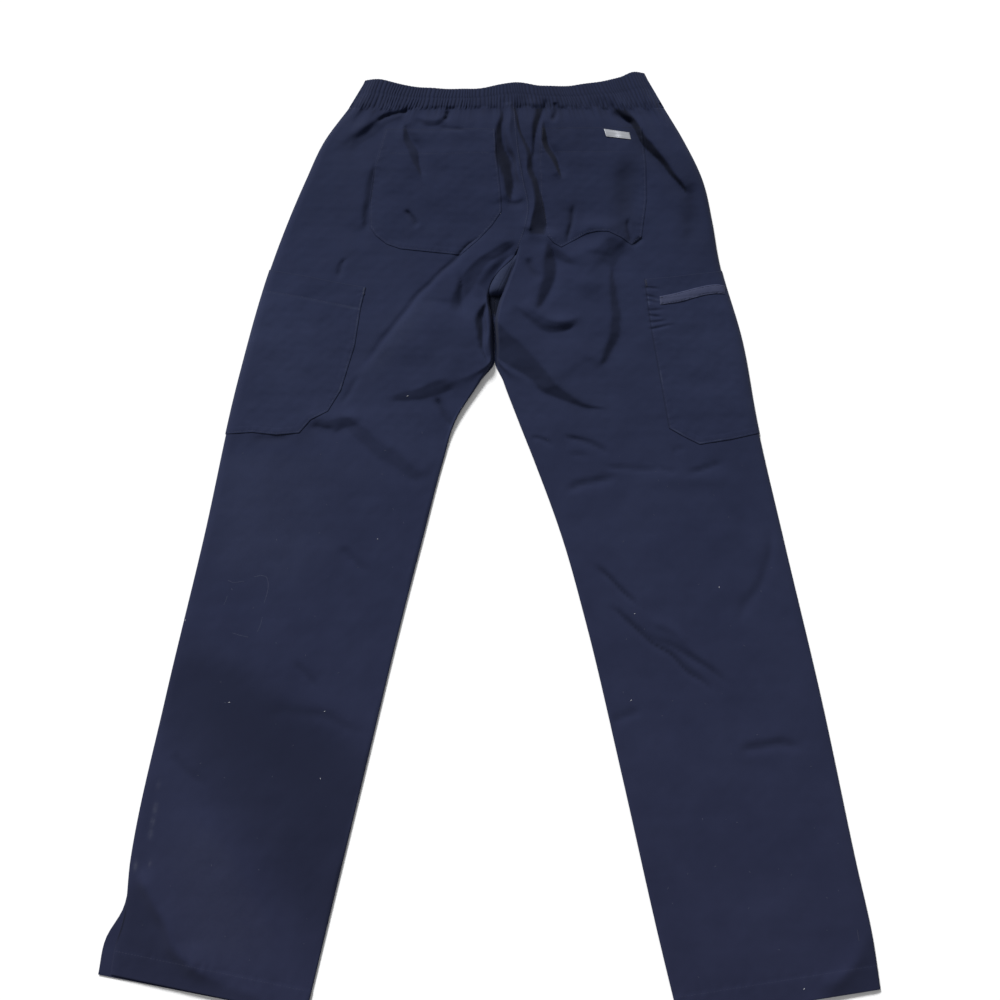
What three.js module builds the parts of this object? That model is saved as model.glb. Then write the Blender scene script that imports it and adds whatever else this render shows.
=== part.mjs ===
// Scrub trousers lying flat on their front, with the back side up. Millimetres.
// +X runs towards the wearer's right leg, +Y towards the waist and +Z up, and the origin lies on the
// floor under the middle of the garment. Every panel is a wall between a lower and an upper surface,
// and both are heights over the floor at the points of a grid of rows and columns.

import * as THREE from 'three';

// Cloth
const WALL = 1.4;
const SEAM_GAP = 0.3;
const HEM_DEPTH = 22;
const HEM_TURN = 0.8;
const HEM_STEP = 2;

// Waist seam, where the legs meet the waistband, and the hems
const WAIST_SIDE_Y = 475;
const WAIST_CENTRE_Y = 479.5;
const CROTCH_Y = 143.7;
const LEG_LENGTH = 1000;
const CROTCH_SHARE = (WAIST_CENTRE_Y - CROTCH_Y) / LEG_LENGTH;

// Waistband
const BAND_WALL = 2.2;
const BAND_LIFT = 4.2;
const BAND_END_DROP = 1.7;
const BAND_END_SHARE = 0.05;
const BAND_BULGE = 1.2;
const BAND_ROWS = 3;
const BAND_GATHERS = 50;
const BAND_COLUMNS_PER_GATHER = 4;
const BAND_GATHER_HEIGHT = 1.3;
const FRONT_BAND_COLUMNS_PER_GATHER = 2;
const FRONT_BAND_GATHER_HEIGHT = 0.9;

// Grids of the panels
const SEAT_ROWS = 18;
const POCKET_ROWS = 8;
const LEG_ROWS = 12;
const BACK_COLUMNS = [0, 0.03, 0.09, 0.16, 0.235, 0.31, 0.4, 0.48, 0.56, 0.64, 0.72, 0.79, 0.86, 0.94, 1];
const FRONT_COLUMNS = [0, 0.16, 0.31, 0.4, 0.72, 1];

// How high the back lies over the front away from its seams, and the share of its width that it takes
const FLAT_LIFT = 1.2;
const SEAT_LIFT = 3.9;
const EDGE_ROLL = 0.2;
const SEAT_LOW_Y = 310;
const LEG_FALL = 560;
const GAP_TOP_Y = 300;
const GAP_OPENING = 40;

// Folds fade out this share of the width from a seam, and this share of the length from the waistband
const FOLD_SIDE_FADE = 0.1;
const WAIST_FADE = 0.05;
const WAIST_SIDE_FADE = 0.06;
const WAIST_SIDE_LIFT = 0.35;

// Cargo pockets run round the outseam and end under the front
const POCKET_UNDER = 75;
const POCKET_MARGIN = 21;
const POCKET_UNDER_SHARE = 0.35;
const TRIM_WALL = 1;

const CLOTH = { color: 0x292e43, roughness: 0.85, metalness: 0 };
const TAPE = { color: 0x3f435a, roughness: 0.7, metalness: 0 };
const TAG = { color: 0xb9bcc4, roughness: 0.45, metalness: 0.2 };

function table(names, rows) {
  return rows.map((row) => Object.fromEntries(names.map((name, index) => [name, row[index]])));
}

// Edges of the panels, from the waist to the hem
const leftOutseam = table(['y', 'x'], [
  [475, -172], [430, -199], [376, -219], [271, -251], [122, -281], [-61, -306],
  [-229, -332], [-383, -352], [-441, -354], [-462, -359], [-487, -361],
]);
const leftFrontOutseam = table(['y', 'x'], [
  [475, -172], [430, -199], [376, -219], [271, -251], [122, -281], [-61, -306],
  [-229, -332], [-383, -352], [-428, -355], [-452, -368], [-486, -372.6],
]);
const rightOutseam = table(['y', 'x'], [
  [475, 209.7], [430, 231], [376, 251], [323, 259], [271, 264], [170, 284], [74, 294],
  [-61, 314], [-229, 340], [-383, 360], [-455, 370], [-498.5, 372.6],
]);
const centreSeam = table(['y', 'x'], [
  [479.5, 29], [417, 33.6], [376, 39.4], [338, 45], [306, 39], [281, 30.6],
]);
const leftInseam = table(['y', 'x'], [
  [281, 30.4], [274, 26], [256, 9], [237, -1], [218, -1.5], [200, 2], [162, 3], [143.7, 2.5],
  [122, -10], [74, -38], [28, -51], [-61, -72], [-147, -92], [-307, -126.5], [-455, -158.5], [-520.9, -172.5],
]);
const rightInseam = table(['y', 'x'], [
  [281, 30.8], [274, 29], [256, 23.5], [237, 17], [218, 10], [200, 6], [162, 7], [143.7, 7.5],
  [122, 14], [74, 31], [28, 48], [-61, 78], [-147, 100], [-307, 134], [-455, 164], [-526.4, 179.7],
]);
const frontFork = table(['y', 'x'], [
  [281, 30.6], [274, 27.5], [256, 20], [237, 11],
]);

// Top edge of the waistband, which the elastic and the way it lies make uneven
const bandTop = table(['x', 'y'], [
  [-154, 514], [-138, 516], [-106, 507.5], [-60, 502.5], [-10, 503.5], [28, 511.5],
  [60, 507], [88, 506], [121, 510.5], [158, 519], [174, 526.5], [188, 524],
]);

// Folds of the back: a ridge runs from start through bend to end, and a trough has a height below zero.
// left and right are how far it reaches to each side of the way it runs.
const foldNames = ['name', 'startX', 'startY', 'bendX', 'bendY', 'endX', 'endY', 'height', 'left', 'right'];
const folds = table(foldNames, [
  ['centre_back_ridge', 24, 478, 38, 400, 45, 318, 10, 12, 15],
  ['right_of_centre', 51, 476, 50, 390, 66, 306, -7, 13, 13],
  ['left_of_centre', 10, 472, 2, 415, 20, 343, -5, 12, 12],
  ['seat_to_pocket_left', 40, 318, -24, 292, -104, 207, 13, 22, 16],
  ['thigh_left_lower', -104, 207, -140, 160, -164, 98, 9, 18, 14],
  ['hip_right', 150, 474, 190, 440, 232, 365, -6, 14, 16],
  ['hip_right_ridge', 176, 474, 212, 430, 246, 372, 7, 13, 15],
  ['waist_left', -104, 474, -128, 462, -172, 418, -5, 11, 13],
  ['waist_left_inner', -104, 466, -98, 420, -82, 380, -5, 13, 12],
  ['pocket_left', -137, 395, -150, 350, -147, 335, -3, 14, 14],
  ['seat_right_s', 56, 306, 88, 270, 56, 218, -7, 14, 14],
  ['thigh_right_bulge', 96, 300, 118, 245, 92, 214, 11, 22, 24],
  ['thigh_right_j', 34, 212, 60, 172, 108, 202, -7, 14, 16],
  ['thigh_right_curve', 139, 297, 153, 200, 119, 134, -7, 18, 16],
  ['crotch_tuck', 5, 206, 30, 150, 124, 86, 10, 12, 20],
  ['crotch_tuck_shadow', 8, 152, 50, 125, 124, 84, -5, 9, 10],
  ['thigh_left_valley', -100, 94, -68, 118, -36, 120, -3, 16, 16],
  ['knee_left', -146, 68, -110, 34, -72, 11, 3, 16, 16],
  ['knee_right', 44, 36, 130, 10, 230, 34, 3, 16, 18],
  ['shin_left', -301, -168, -230, -240, -146, -373, -2, 50, 50],
  ['hem_left', -355, -424, -318, -424, -296, -475, 4, 22, 22],
]);

const BEND_STEPS = 20;

function lerp(a, b, share) {
  return a + (b - a) * share;
}

function smooth(share) {
  const limited = Math.min(1, Math.max(0, share));
  return limited * limited * (3 - 2 * limited);
}

// A smooth curve through a table's rows, whose keys rise or fall steadily
function curveThrough(rows, keyName, valueName) {
  const keys = rows.map((row) => row[keyName]);
  const values = rows.map((row) => row[valueName]);
  const last = keys.length - 1;
  const slopes = keys.map((key, index) => {
    const before = Math.max(0, index - 1);
    const after = Math.min(last, index + 1);
    return (values[after] - values[before]) / (keys[after] - keys[before]);
  });
  const direction = Math.sign(keys[last] - keys[0]);
  return (key) => {
    let index = 0;
    while (index < last - 1 && direction * (key - keys[index + 1]) > 0) {
      index += 1;
    }
    const span = keys[index + 1] - keys[index];
    const share = Math.min(1, Math.max(0, (key - keys[index]) / span));
    const square = share * share;
    const cube = square * share;
    return (2 * cube - 3 * square + 1) * values[index]
      + (cube - 2 * square + share) * span * slopes[index]
      + (3 * square - 2 * cube) * values[index + 1]
      + (cube - square) * span * slopes[index + 1];
  };
}

// Every fold keeps the points of its way, so that its height at a point is quick to find
const foldWays = folds.map((fold) => {
  const start = new THREE.Vector3(fold.startX, fold.startY, 0);
  const bend = new THREE.Vector3(fold.bendX, fold.bendY, 0);
  const end = new THREE.Vector3(fold.endX, fold.endY, 0);
  return { fold, points: new THREE.QuadraticBezierCurve3(start, bend, end).getPoints(BEND_STEPS) };
});

function foldHeight({ fold, points }, x, y) {
  let nearest = { distance: Infinity, share: 0, side: 0 };
  for (let index = 0; index < points.length - 1; index += 1) {
    const from = points[index];
    const alongX = points[index + 1].x - from.x;
    const alongY = points[index + 1].y - from.y;
    const lengthSquared = alongX * alongX + alongY * alongY;
    const wanted = ((x - from.x) * alongX + (y - from.y) * alongY) / lengthSquared;
    const share = Math.min(1, Math.max(0, wanted));
    const offX = x - from.x - alongX * share;
    const offY = y - from.y - alongY * share;
    const distance = Math.hypot(offX, offY);
    if (distance < nearest.distance) {
      const side = alongX * offY - alongY * offX;
      nearest = { distance, share: (index + share) / (points.length - 1), side };
    }
  }
  const reach = nearest.side > 0 ? fold.left : fold.right;
  const ends = Math.sqrt(Math.sin(Math.PI * Math.min(0.97, Math.max(0.03, nearest.share))));
  return fold.height * ends * Math.exp(-((nearest.distance / reach) ** 2));
}

// The share of the way down a leg, at each row: closer rows on the seat than on the leg
function rowShares() {
  const shares = [];
  for (let row = 0; row <= SEAT_ROWS + POCKET_ROWS; row += 1) {
    shares.push(CROTCH_SHARE * row / SEAT_ROWS);
  }
  const pocketShare = shares[shares.length - 1];
  const hemShare = 1 - (HEM_DEPTH + HEM_STEP) / LEG_LENGTH;
  for (let row = 1; row <= LEG_ROWS; row += 1) {
    shares.push(lerp(pocketShare, hemShare, row / LEG_ROWS));
  }
  shares.push(1 - HEM_DEPTH / LEG_LENGTH, 1);
  return shares;
}

// A leg's edge towards the other leg: the centre seam, then the fork where it has one, then the inseam
function innerEdge(inseam, side, fork = []) {
  const seamCurve = curveThrough(centreSeam, 'y', 'x');
  const inseamCurve = curveThrough(inseam, 'y', 'x');
  const forkCurve = fork.length ? curveThrough(fork, 'y', 'x') : inseamCurve;
  const seamEnd = centreSeam[centreSeam.length - 1].y;
  const forkEnd = fork.length ? fork[fork.length - 1].y - 1 : seamEnd;
  return (y) => {
    if (y > seamEnd) {
      return seamCurve(y) + side * SEAM_GAP / 2;
    }
    return y > forkEnd ? forkCurve(y) + side * SEAM_GAP / 2 : inseamCurve(y);
  };
}

const legs = {
  left: {
    inward: 1,
    hemOuterY: -487,
    hemInnerY: -520.9,
    outer: curveThrough(leftOutseam, 'y', 'x'),
    frontOuter: curveThrough(leftFrontOutseam, 'y', 'x'),
    inner: innerEdge(leftInseam, -1),
    frontInner: innerEdge(leftInseam, -1, frontFork),
  },
  right: {
    inward: -1,
    hemOuterY: -498.5,
    hemInnerY: -526.4,
    outer: curveThrough(rightOutseam, 'y', 'x'),
    frontOuter: curveThrough(rightOutseam, 'y', 'x'),
    inner: innerEdge(rightInseam, 1),
    frontInner: innerEdge(rightInseam, 1, frontFork),
  },
};

// Outlines of what is sewn on, each convex and running against the clock as seen from above
const outline = (points) => table(['x', 'y'], points);
const backPocketLeft = outline([
  [5, 446], [-127.5, 446], [-139, 395], [-142, 314], [-121, 291], [-105, 285], [-35, 277],
  [-10, 300], [13, 334],
]);
const backPocketRight = outline([
  [60, 447], [58, 349], [66, 302], [82, 287], [164, 290], [176, 299], [184, 376], [182, 449],
]);
const cargoPocketLeft = outline([
  [-143, 236], [-320, 271], [-330, 58], [-210, 59], [-181, 84], [-166, 110], [-152.7, 164],
]);
const cargoPocketRight = outline([
  [177, 246.5], [182, 184], [191, 112], [197, 65], [230, 46], [320, 64], [330, 263],
]);
const cargoTape = outline([[193.5, 214.5], [269, 228], [269, 236], [193.5, 224]]);
const tag = outline([[137, 434.5], [168, 432.5], [169, 442.5], [138, 444.5]]);

// How far a point lies inside an outline, below zero when it lies outside
function depthInside(points, x, y) {
  let depth = Infinity;
  points.forEach((from, index) => {
    const to = points[(index + 1) % points.length];
    const length = Math.hypot(to.x - from.x, to.y - from.y);
    depth = Math.min(depth, ((to.x - from.x) * (y - from.y) - (to.y - from.y) * (x - from.x)) / length);
  });
  return depth;
}

// Where a cargo pocket runs under the front, the front lies on it
function frontLift(leg, y, across) {
  const pocket = leg === legs.left ? cargoPocketLeft : cargoPocketRight;
  const depth = depthInside(pocket, leg.frontOuter(y), y) + POCKET_MARGIN;
  return depth > 0 && across < POCKET_UNDER_SHARE ? WALL + SEAM_GAP : 0;
}

function wallAt(share) {
  return share > 1 - (HEM_DEPTH + HEM_STEP / 2) / LEG_LENGTH ? WALL + HEM_TURN : WALL;
}

// Lift of the back over the front: a soft roll up from each seam, and the folds
function backLift(x, y, across, down) {
  const seat = 1 - smooth((SEAT_LOW_Y - y) / LEG_FALL);
  const body = lerp(FLAT_LIFT, SEAT_LIFT, seat);
  const outerRoll = smooth(across / EDGE_ROLL);
  const openInside = smooth((GAP_TOP_Y - y) / GAP_OPENING);
  const innerRoll = lerp(1, smooth((1 - across) / EDGE_ROLL), openInside);
  let lift = body * outerRoll * innerRoll;
  const nearWaist = 1 - smooth(down / WAIST_FADE);
  const innerFade = lerp(1, smooth((1 - across) / FOLD_SIDE_FADE), openInside);
  const foldShare = Math.min(smooth(across / FOLD_SIDE_FADE), innerFade);
  foldWays.forEach((way) => {
    lift += foldHeight(way, x, y) * foldShare * (1 - nearWaist);
  });
  const bandSide = smooth(across / WAIST_SIDE_FADE);
  const atBand = (BAND_LIFT - SEAM_GAP - WALL) * lerp(WAIST_SIDE_LIFT, 1, bandSide);
  return Math.max(0, lerp(Math.max(lift, 0), atBand, nearWaist));
}

function panelGrid(leg, columns, outer, inner, surfaces) {
  const ordered = leg.inward > 0 ? columns : [...columns].reverse();
  return rowShares().map((down) => {
    const outerY = lerp(WAIST_SIDE_Y, leg.hemOuterY, down);
    const innerY = down <= CROTCH_SHARE + 1e-9
      ? lerp(WAIST_CENTRE_Y, CROTCH_Y, down / CROTCH_SHARE)
      : lerp(CROTCH_Y, leg.hemInnerY, (down - CROTCH_SHARE) / (1 - CROTCH_SHARE));
    const outerX = outer(outerY);
    const innerX = inner(innerY);
    return ordered.map((across) => {
      const x = lerp(outerX, innerX, across);
      const y = lerp(outerY, innerY, across);
      return { x, y, ...surfaces(x, y, across, down) };
    });
  });
}

function frontGrid(leg) {
  return panelGrid(leg, FRONT_COLUMNS, leg.frontOuter, leg.frontInner, (x, y, across, down) => {
    const lower = frontLift(leg, y, across);
    return { lower, upper: lower + wallAt(down) };
  });
}

function backGrid(leg) {
  return panelGrid(leg, BACK_COLUMNS, leg.outer, leg.inner, (x, y, across, down) => {
    const frontTop = frontLift(leg, y, across) + wallAt(down);
    const lower = frontTop + SEAM_GAP + backLift(x, y, across, down);
    return { lower, upper: lower + wallAt(down) };
  });
}

// Both bands share their outline: rows from the top edge to the seam, columns from left to right
function bandGrid(columns, rows, surfaces) {
  const topEdge = curveThrough(bandTop, 'x', 'y');
  const seamLeft = legs.left.outer(WAIST_SIDE_Y);
  const seamRight = legs.right.outer(WAIST_SIDE_Y);
  const seamMiddle = centreSeam[0].x;
  const topLeft = bandTop[0].x;
  const topRight = bandTop[bandTop.length - 1].x;
  const grid = [];
  for (let row = rows; row >= 0; row -= 1) {
    const up = row / rows;
    const line = [];
    for (let column = 0; column <= columns; column += 1) {
      const along = column / columns;
      const seamX = lerp(seamLeft, seamRight, along);
      const fromMiddle = seamX < seamMiddle
        ? (seamX - seamLeft) / (seamMiddle - seamLeft)
        : (seamRight - seamX) / (seamRight - seamMiddle);
      const seamY = lerp(WAIST_SIDE_Y, WAIST_CENTRE_Y, fromMiddle) + SEAM_GAP;
      const topX = lerp(topLeft, topRight, along);
      const x = lerp(seamX, topX, up);
      const y = lerp(seamY, topEdge(topX), up);
      line.push({ x, y, ...surfaces(along, up) });
    }
    grid.push(line);
  }
  return grid;
}

function backBandGrid() {
  return bandGrid(BAND_GATHERS * BAND_COLUMNS_PER_GATHER, BAND_ROWS, (along, up) => {
    const wave = Math.sin(2 * Math.PI * BAND_GATHERS * along);
    const ends = smooth(Math.min(along, 1 - along) / BAND_END_SHARE);
    const lift = lerp(BAND_LIFT - BAND_END_DROP, BAND_LIFT + BAND_BULGE * Math.sin(Math.PI * up), ends);
    const lower = lift + BAND_GATHER_HEIGHT * (1 + wave) / 2;
    return { lower, upper: lower + BAND_WALL };
  });
}

function frontBandGrid() {
  const columns = BAND_GATHERS * FRONT_BAND_COLUMNS_PER_GATHER;
  return bandGrid(columns, 1, (along) => {
    const raised = Math.round(along * columns) % 2;
    return { lower: 0, upper: BAND_WALL - FRONT_BAND_GATHER_HEIGHT * (1 - raised) };
  });
}

// Collects triangles of points, with points that are alike stored once
class Surface {
  constructor() {
    this.numbers = new Map();
    this.positions = [];
    this.triangles = [];
  }

  point(x, y, z) {
    const key = [x, y, z].map((value) => Math.round(value * 1e4)).join(',');
    if (!this.numbers.has(key)) {
      this.numbers.set(key, this.positions.length / 3);
      this.positions.push(x, y, z);
    }
    return this.numbers.get(key);
  }

  triangle(a, b, c) {
    const corners = [a, b, c].map((corner) => this.point(corner.x, corner.y, corner.z));
    if (new Set(corners).size === 3) {
      this.triangles.push(...corners);
    }
  }

  quad(a, b, c, d) {
    this.triangle(a, b, c);
    this.triangle(a, c, d);
  }

  geometry() {
    const geometry = new THREE.BufferGeometry();
    geometry.setAttribute('position', new THREE.Float32BufferAttribute(this.positions, 3));
    geometry.setIndex(this.triangles);
    return geometry;
  }
}

const raise = (point, z) => ({ x: point.x, y: point.y, z });
const upperPoint = (point) => raise(point, point.upper);
const lowerPoint = (point) => raise(point, point.lower);

// A closed wall from a grid whose rows run towards -Y and whose columns run towards +X
function wallGeometry(grid) {
  const surface = new Surface();
  const lastRow = grid.length - 1;
  const lastColumn = grid[0].length - 1;
  for (let row = 0; row < lastRow; row += 1) {
    for (let column = 0; column < lastColumn; column += 1) {
      const corners = [
        grid[row][column], grid[row + 1][column], grid[row + 1][column + 1], grid[row][column + 1],
      ];
      surface.quad(...corners.map(upperPoint));
      const [a, b, c, d] = corners.map(lowerPoint);
      surface.triangle(c, b, a);
      surface.triangle(d, c, a);
    }
  }
  const rim = [
    ...grid.map((line) => line[0]),
    ...grid[lastRow].slice(1),
    ...grid.slice(0, lastRow).reverse().map((line) => line[lastColumn]),
    ...grid[0].slice(1, lastColumn).reverse(),
  ];
  rim.forEach((from, index) => {
    const to = rim[(index + 1) % rim.length];
    surface.quad(lowerPoint(from), lowerPoint(to), upperPoint(to), upperPoint(from));
  });
  return surface.geometry();
}

function upperTriangles(grid) {
  const triangles = [];
  for (let row = 0; row < grid.length - 1; row += 1) {
    for (let column = 0; column < grid[0].length - 1; column += 1) {
      const [a, b, c, d] = [
        grid[row][column], grid[row + 1][column], grid[row + 1][column + 1], grid[row][column + 1],
      ].map(upperPoint);
      triangles.push([a, b, c], [a, c, d]);
    }
  }
  return triangles;
}

// Cuts a facet down to what lies inside a convex outline
function clipFacet(facet, points) {
  let kept = facet;
  points.forEach((from, index) => {
    const to = points[(index + 1) % points.length];
    const inside = (point) => (to.x - from.x) * (point.y - from.y) - (to.y - from.y) * (point.x - from.x);
    const next = [];
    kept.forEach((corner, place) => {
      const following = kept[(place + 1) % kept.length];
      const here = inside(corner);
      const there = inside(following);
      if (here >= 0) {
        next.push(corner);
      }
      if ((here > 0 && there < 0) || (here < 0 && there > 0)) {
        const share = here / (here - there);
        next.push(new THREE.Vector3().lerpVectors(corner, following, share));
      }
    });
    kept = next;
  });
  return kept;
}

// A layer of cloth on a panel: the panel's own facets inside the outline, moved up off it.
// With a wrap, the layer goes on round the panel's outer edge and ends flat on the floor under it.
function layerGeometry(facets, points, clearance, thickness, wrap = null) {
  const surface = new Surface();
  const edges = new Map();
  const name = (corner) => `${Math.round(corner.x * 1e4)},${Math.round(corner.y * 1e4)}`;
  const above = (corner) => raise(corner, corner.z + clearance + thickness);
  const below = (corner) => raise(corner, corner.z + clearance);
  facets.forEach((facet) => {
    const kept = clipFacet(facet, points).filter((corner, index, all) => (
      name(corner) !== name(all[(index + 1) % all.length])));
    for (let index = 1; index < kept.length - 1; index += 1) {
      surface.triangle(...[kept[0], kept[index], kept[index + 1]].map(above));
      surface.triangle(...[kept[index + 1], kept[index], kept[0]].map(below));
    }
    if (kept.length > 2) {
      kept.forEach((corner, index) => {
        const following = kept[(index + 1) % kept.length];
        const reverse = `${name(following)}/${name(corner)}`;
        if (edges.has(reverse)) {
          edges.delete(reverse);
        } else {
          edges.set(`${name(corner)}/${name(following)}`, [corner, following]);
        }
      });
    }
  });
  const onOuterEdge = (corner) => wrap && Math.abs(corner.x - wrap.edgeX(corner.y)) < 1e-3;
  const wrapped = [...edges.values()].filter(([from, to]) => onOuterEdge(from) && onOuterEdge(to));
  const plain = [...edges.values()].filter((edge) => !wrapped.includes(edge));
  plain.forEach(([from, to]) => {
    surface.quad(below(from), below(to), above(to), above(from));
  });
  if (!wrap) {
    return surface.geometry();
  }
  const outerLine = (corner) => {
    const outside = corner.x - wrap.inward * (clearance + thickness);
    const inside = corner.x + wrap.inward * POCKET_UNDER;
    return [
      above(corner),
      { x: outside, y: corner.y, z: corner.z + clearance + thickness / 2 },
      { x: outside, y: corner.y, z: 0 },
      { x: inside, y: corner.y, z: 0 },
    ];
  };
  const innerLine = (corner) => {
    const outside = corner.x - wrap.inward * clearance;
    const inside = corner.x + wrap.inward * POCKET_UNDER;
    return [
      below(corner),
      { x: outside, y: corner.y, z: corner.z + clearance / 2 },
      { x: outside, y: corner.y, z: thickness },
      { x: inside, y: corner.y, z: thickness },
    ];
  };
  const starts = new Set(wrapped.map(([from]) => name(from)));
  const ends = new Set(wrapped.map(([, to]) => name(to)));
  wrapped.forEach(([from, to]) => {
    const [outerFrom, outerTo] = [outerLine(from), outerLine(to)];
    const [innerFrom, innerTo] = [innerLine(from), innerLine(to)];
    const last = outerFrom.length - 1;
    for (let step = 0; step < last; step += 1) {
      surface.quad(outerFrom[step], outerFrom[step + 1], outerTo[step + 1], outerTo[step]);
      surface.quad(innerTo[step], innerTo[step + 1], innerFrom[step + 1], innerFrom[step]);
      if (!ends.has(name(from))) {
        surface.quad(outerFrom[step + 1], outerFrom[step], innerFrom[step], innerFrom[step + 1]);
      }
      if (!starts.has(name(to))) {
        surface.quad(outerTo[step], outerTo[step + 1], innerTo[step + 1], innerTo[step]);
      }
    }
    surface.quad(outerTo[last], outerFrom[last], innerFrom[last], innerTo[last]);
  });
  return surface.geometry();
}

// The outer edge of a panel as its straight stretches between rows
function outerEdgeOf(grid, inward) {
  const edge = grid.map((line) => (inward > 0 ? line[0] : line[line.length - 1]));
  return (y) => {
    const index = edge.findIndex((point, place) => place > 0 && y >= point.y - 1e-6);
    const from = edge[index - 1];
    const to = edge[index];
    return lerp(from.x, to.x, (y - from.y) / (to.y - from.y));
  };
}

const scrubTrousers = new THREE.Group();
scrubTrousers.name = 'scrub_trousers';

function addPiece(name, geometry, finish) {
  geometry.computeVertexNormals();
  const piece = new THREE.Mesh(geometry, new THREE.MeshStandardMaterial(finish));
  piece.name = name;
  scrubTrousers.add(piece);
}

const facetsOfLeg = {};
Object.entries(legs).forEach(([side, leg]) => {
  addPiece(`front_${side}`, wallGeometry(frontGrid(leg)), CLOTH);
  const grid = backGrid(leg);
  addPiece(`back_${side}`, wallGeometry(grid), CLOTH);
  facetsOfLeg[side] = upperTriangles(grid);
  const pocket = side === 'left' ? cargoPocketLeft : cargoPocketRight;
  const wrap = { inward: leg.inward, edgeX: outerEdgeOf(grid, leg.inward) };
  const pocketGeometry = layerGeometry(facetsOfLeg[side], pocket, SEAM_GAP, WALL, wrap);
  addPiece(`cargo_pocket_${side}`, pocketGeometry, CLOTH);
});

addPiece('waistband_front', wallGeometry(frontBandGrid()), CLOTH);
addPiece('waistband_back', wallGeometry(backBandGrid()), CLOTH);
addPiece('back_pocket_left', layerGeometry(facetsOfLeg.left, backPocketLeft, SEAM_GAP, WALL), CLOTH);
addPiece('back_pocket_right', layerGeometry(facetsOfLeg.right, backPocketRight, SEAM_GAP, WALL), CLOTH);

const onPocket = SEAM_GAP + WALL + SEAM_GAP;
addPiece('cargo_tape_right', layerGeometry(facetsOfLeg.right, cargoTape, onPocket, TRIM_WALL), TAPE);
addPiece('pocket_tag', layerGeometry(facetsOfLeg.right, tag, onPocket, TRIM_WALL), TAG);

export default scrubTrousers;
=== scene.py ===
# Scrub trousers laid flat on their front, with the back side up.
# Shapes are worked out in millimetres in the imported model's frame and go into the meshes in metres:
# +X runs towards the wearer's right leg, +Y towards the waist and +Z up from the floor.
import math

import bmesh
import bpy
import numpy as np
from mathutils import Matrix, Vector


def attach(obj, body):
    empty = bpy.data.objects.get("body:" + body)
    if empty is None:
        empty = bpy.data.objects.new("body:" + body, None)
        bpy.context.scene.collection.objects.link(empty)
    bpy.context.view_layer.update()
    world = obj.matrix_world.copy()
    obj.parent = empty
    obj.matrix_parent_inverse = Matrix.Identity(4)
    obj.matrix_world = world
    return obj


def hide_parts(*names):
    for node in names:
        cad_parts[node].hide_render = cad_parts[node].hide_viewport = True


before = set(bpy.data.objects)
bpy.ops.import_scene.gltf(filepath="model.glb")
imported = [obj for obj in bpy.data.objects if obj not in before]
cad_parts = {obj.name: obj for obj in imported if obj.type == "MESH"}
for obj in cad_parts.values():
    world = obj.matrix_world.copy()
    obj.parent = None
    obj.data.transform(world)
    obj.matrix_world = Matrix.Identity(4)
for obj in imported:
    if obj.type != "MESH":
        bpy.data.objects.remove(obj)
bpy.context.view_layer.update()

MM = 0.001
BODY = "root"

# Camera: it stands over the legs and looks a little towards the waist
CAMERA_X = 10.9
CAMERA_Y = -286.0
CAMERA_Z = 1004.6
CAMERA_TILT = math.radians(15)
CAMERA_LENS = 34.67
CAMERA_SENSOR = 36

# Light
KEY_STRENGTH = 4.9
KEY_ELEVATION = 34
KEY_AZIMUTH = 117
KEY_SOFTNESS = 16
AMBIENT_STRENGTH = 0.37

# Cloth
WALL = 0.5
POCKET_WALL = 0.42
FRONT_TOP = 0.75
LAYER_GAP = 0.15
BACK_BASE = FRONT_TOP + LAYER_GAP + WALL
HEM_DEPTH = 22
HEM_STITCHES = 21
HEM_RISE = 0.34

# Waist seam and hems
WAIST_SIDE_Y = 475.0
WAIST_CENTRE_Y = 479.5
SEAM_LEFT_X = -172.0
SEAM_MIDDLE_X = 29.0
SEAM_RIGHT_X = 209.7
CROTCH_Y = 143.7
CROTCH_SHARE = 0.3358

# How high the back lies over the front away from its seams
SEAT_LIFT = 8.2
LEG_LIFT = 2.4
EDGE_LIFT = 1.4
SEAT_EDGE_LIFT = 5.0
SEAT_LOW_Y = 310
LEG_FALL = 560
GAP_TOP_Y = 292
GAP_Y = 254
GAP_FOOT_Y = 226
GAP_RISE = 14
GAP_OPENING = 26
OUTER_ROLL = 9.0
INNER_ROLL = 5.0
CROTCH_ROLL = 1.8
CROTCH_LOW_Y = 88
CROTCH_LENGTH = 57
HIGH_EDGE_Y = 20
HIGH_EDGE_RISE = 60
BODY_ROLL = 75.0
CROTCH_SPREAD = 3.0
CROTCH_PAD = 7.5
GAP_SPREAD = 14.0
WAIST_LIFT = 5.2
WAIST_FOLDS = 0.5
WAIST_REACH = 15.0

# Gathers of the elastic waist
GATHERS = 46
BAND_RIBS = 92
BAND_RIB_HEIGHT = 1.0
GATHER_HEIGHT = 1.2
GATHER_FADE = 11.0
PLEAT_HEIGHT = 1.0
PLEAT_FADE = 26.0
BAND_BULGE = 0.9
BAND_THICKNESS = 2.6

# Grids
BACK_COLUMNS = 118
BACK_ROWS = 408
FRONT_COLUMNS = 56
FRONT_ROWS = 220
BAND_ROWS = 44
BAND_COLUMNS = 720
FRONT_BAND_COLUMNS = 400
BACK_POCKET_COLUMNS = 112
CARGO_POCKET_COLUMNS = 150
POCKET_ROWS = 168
NORMAL_WEIGHT = 85


def smooth(share):
    limited = np.clip(share, 0, 1)
    return limited * limited * (3 - 2 * limited)


def rounded(share):
    """Rises from 0 to 1 as the side of a round roll does"""
    left = 1 - np.clip(share, 0, 1)
    return np.sqrt(1 - left * left)


def lerp(start, end, share):
    return start + (end - start) * share


def bell(off, width, power=2):
    """1 where off is 0, falling to 0 on both sides over about a width. A high power has a flat top."""
    return np.exp(-np.abs(off / width) ** power)


def sway(turns):
    return np.sin(2 * math.pi * turns)


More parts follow.
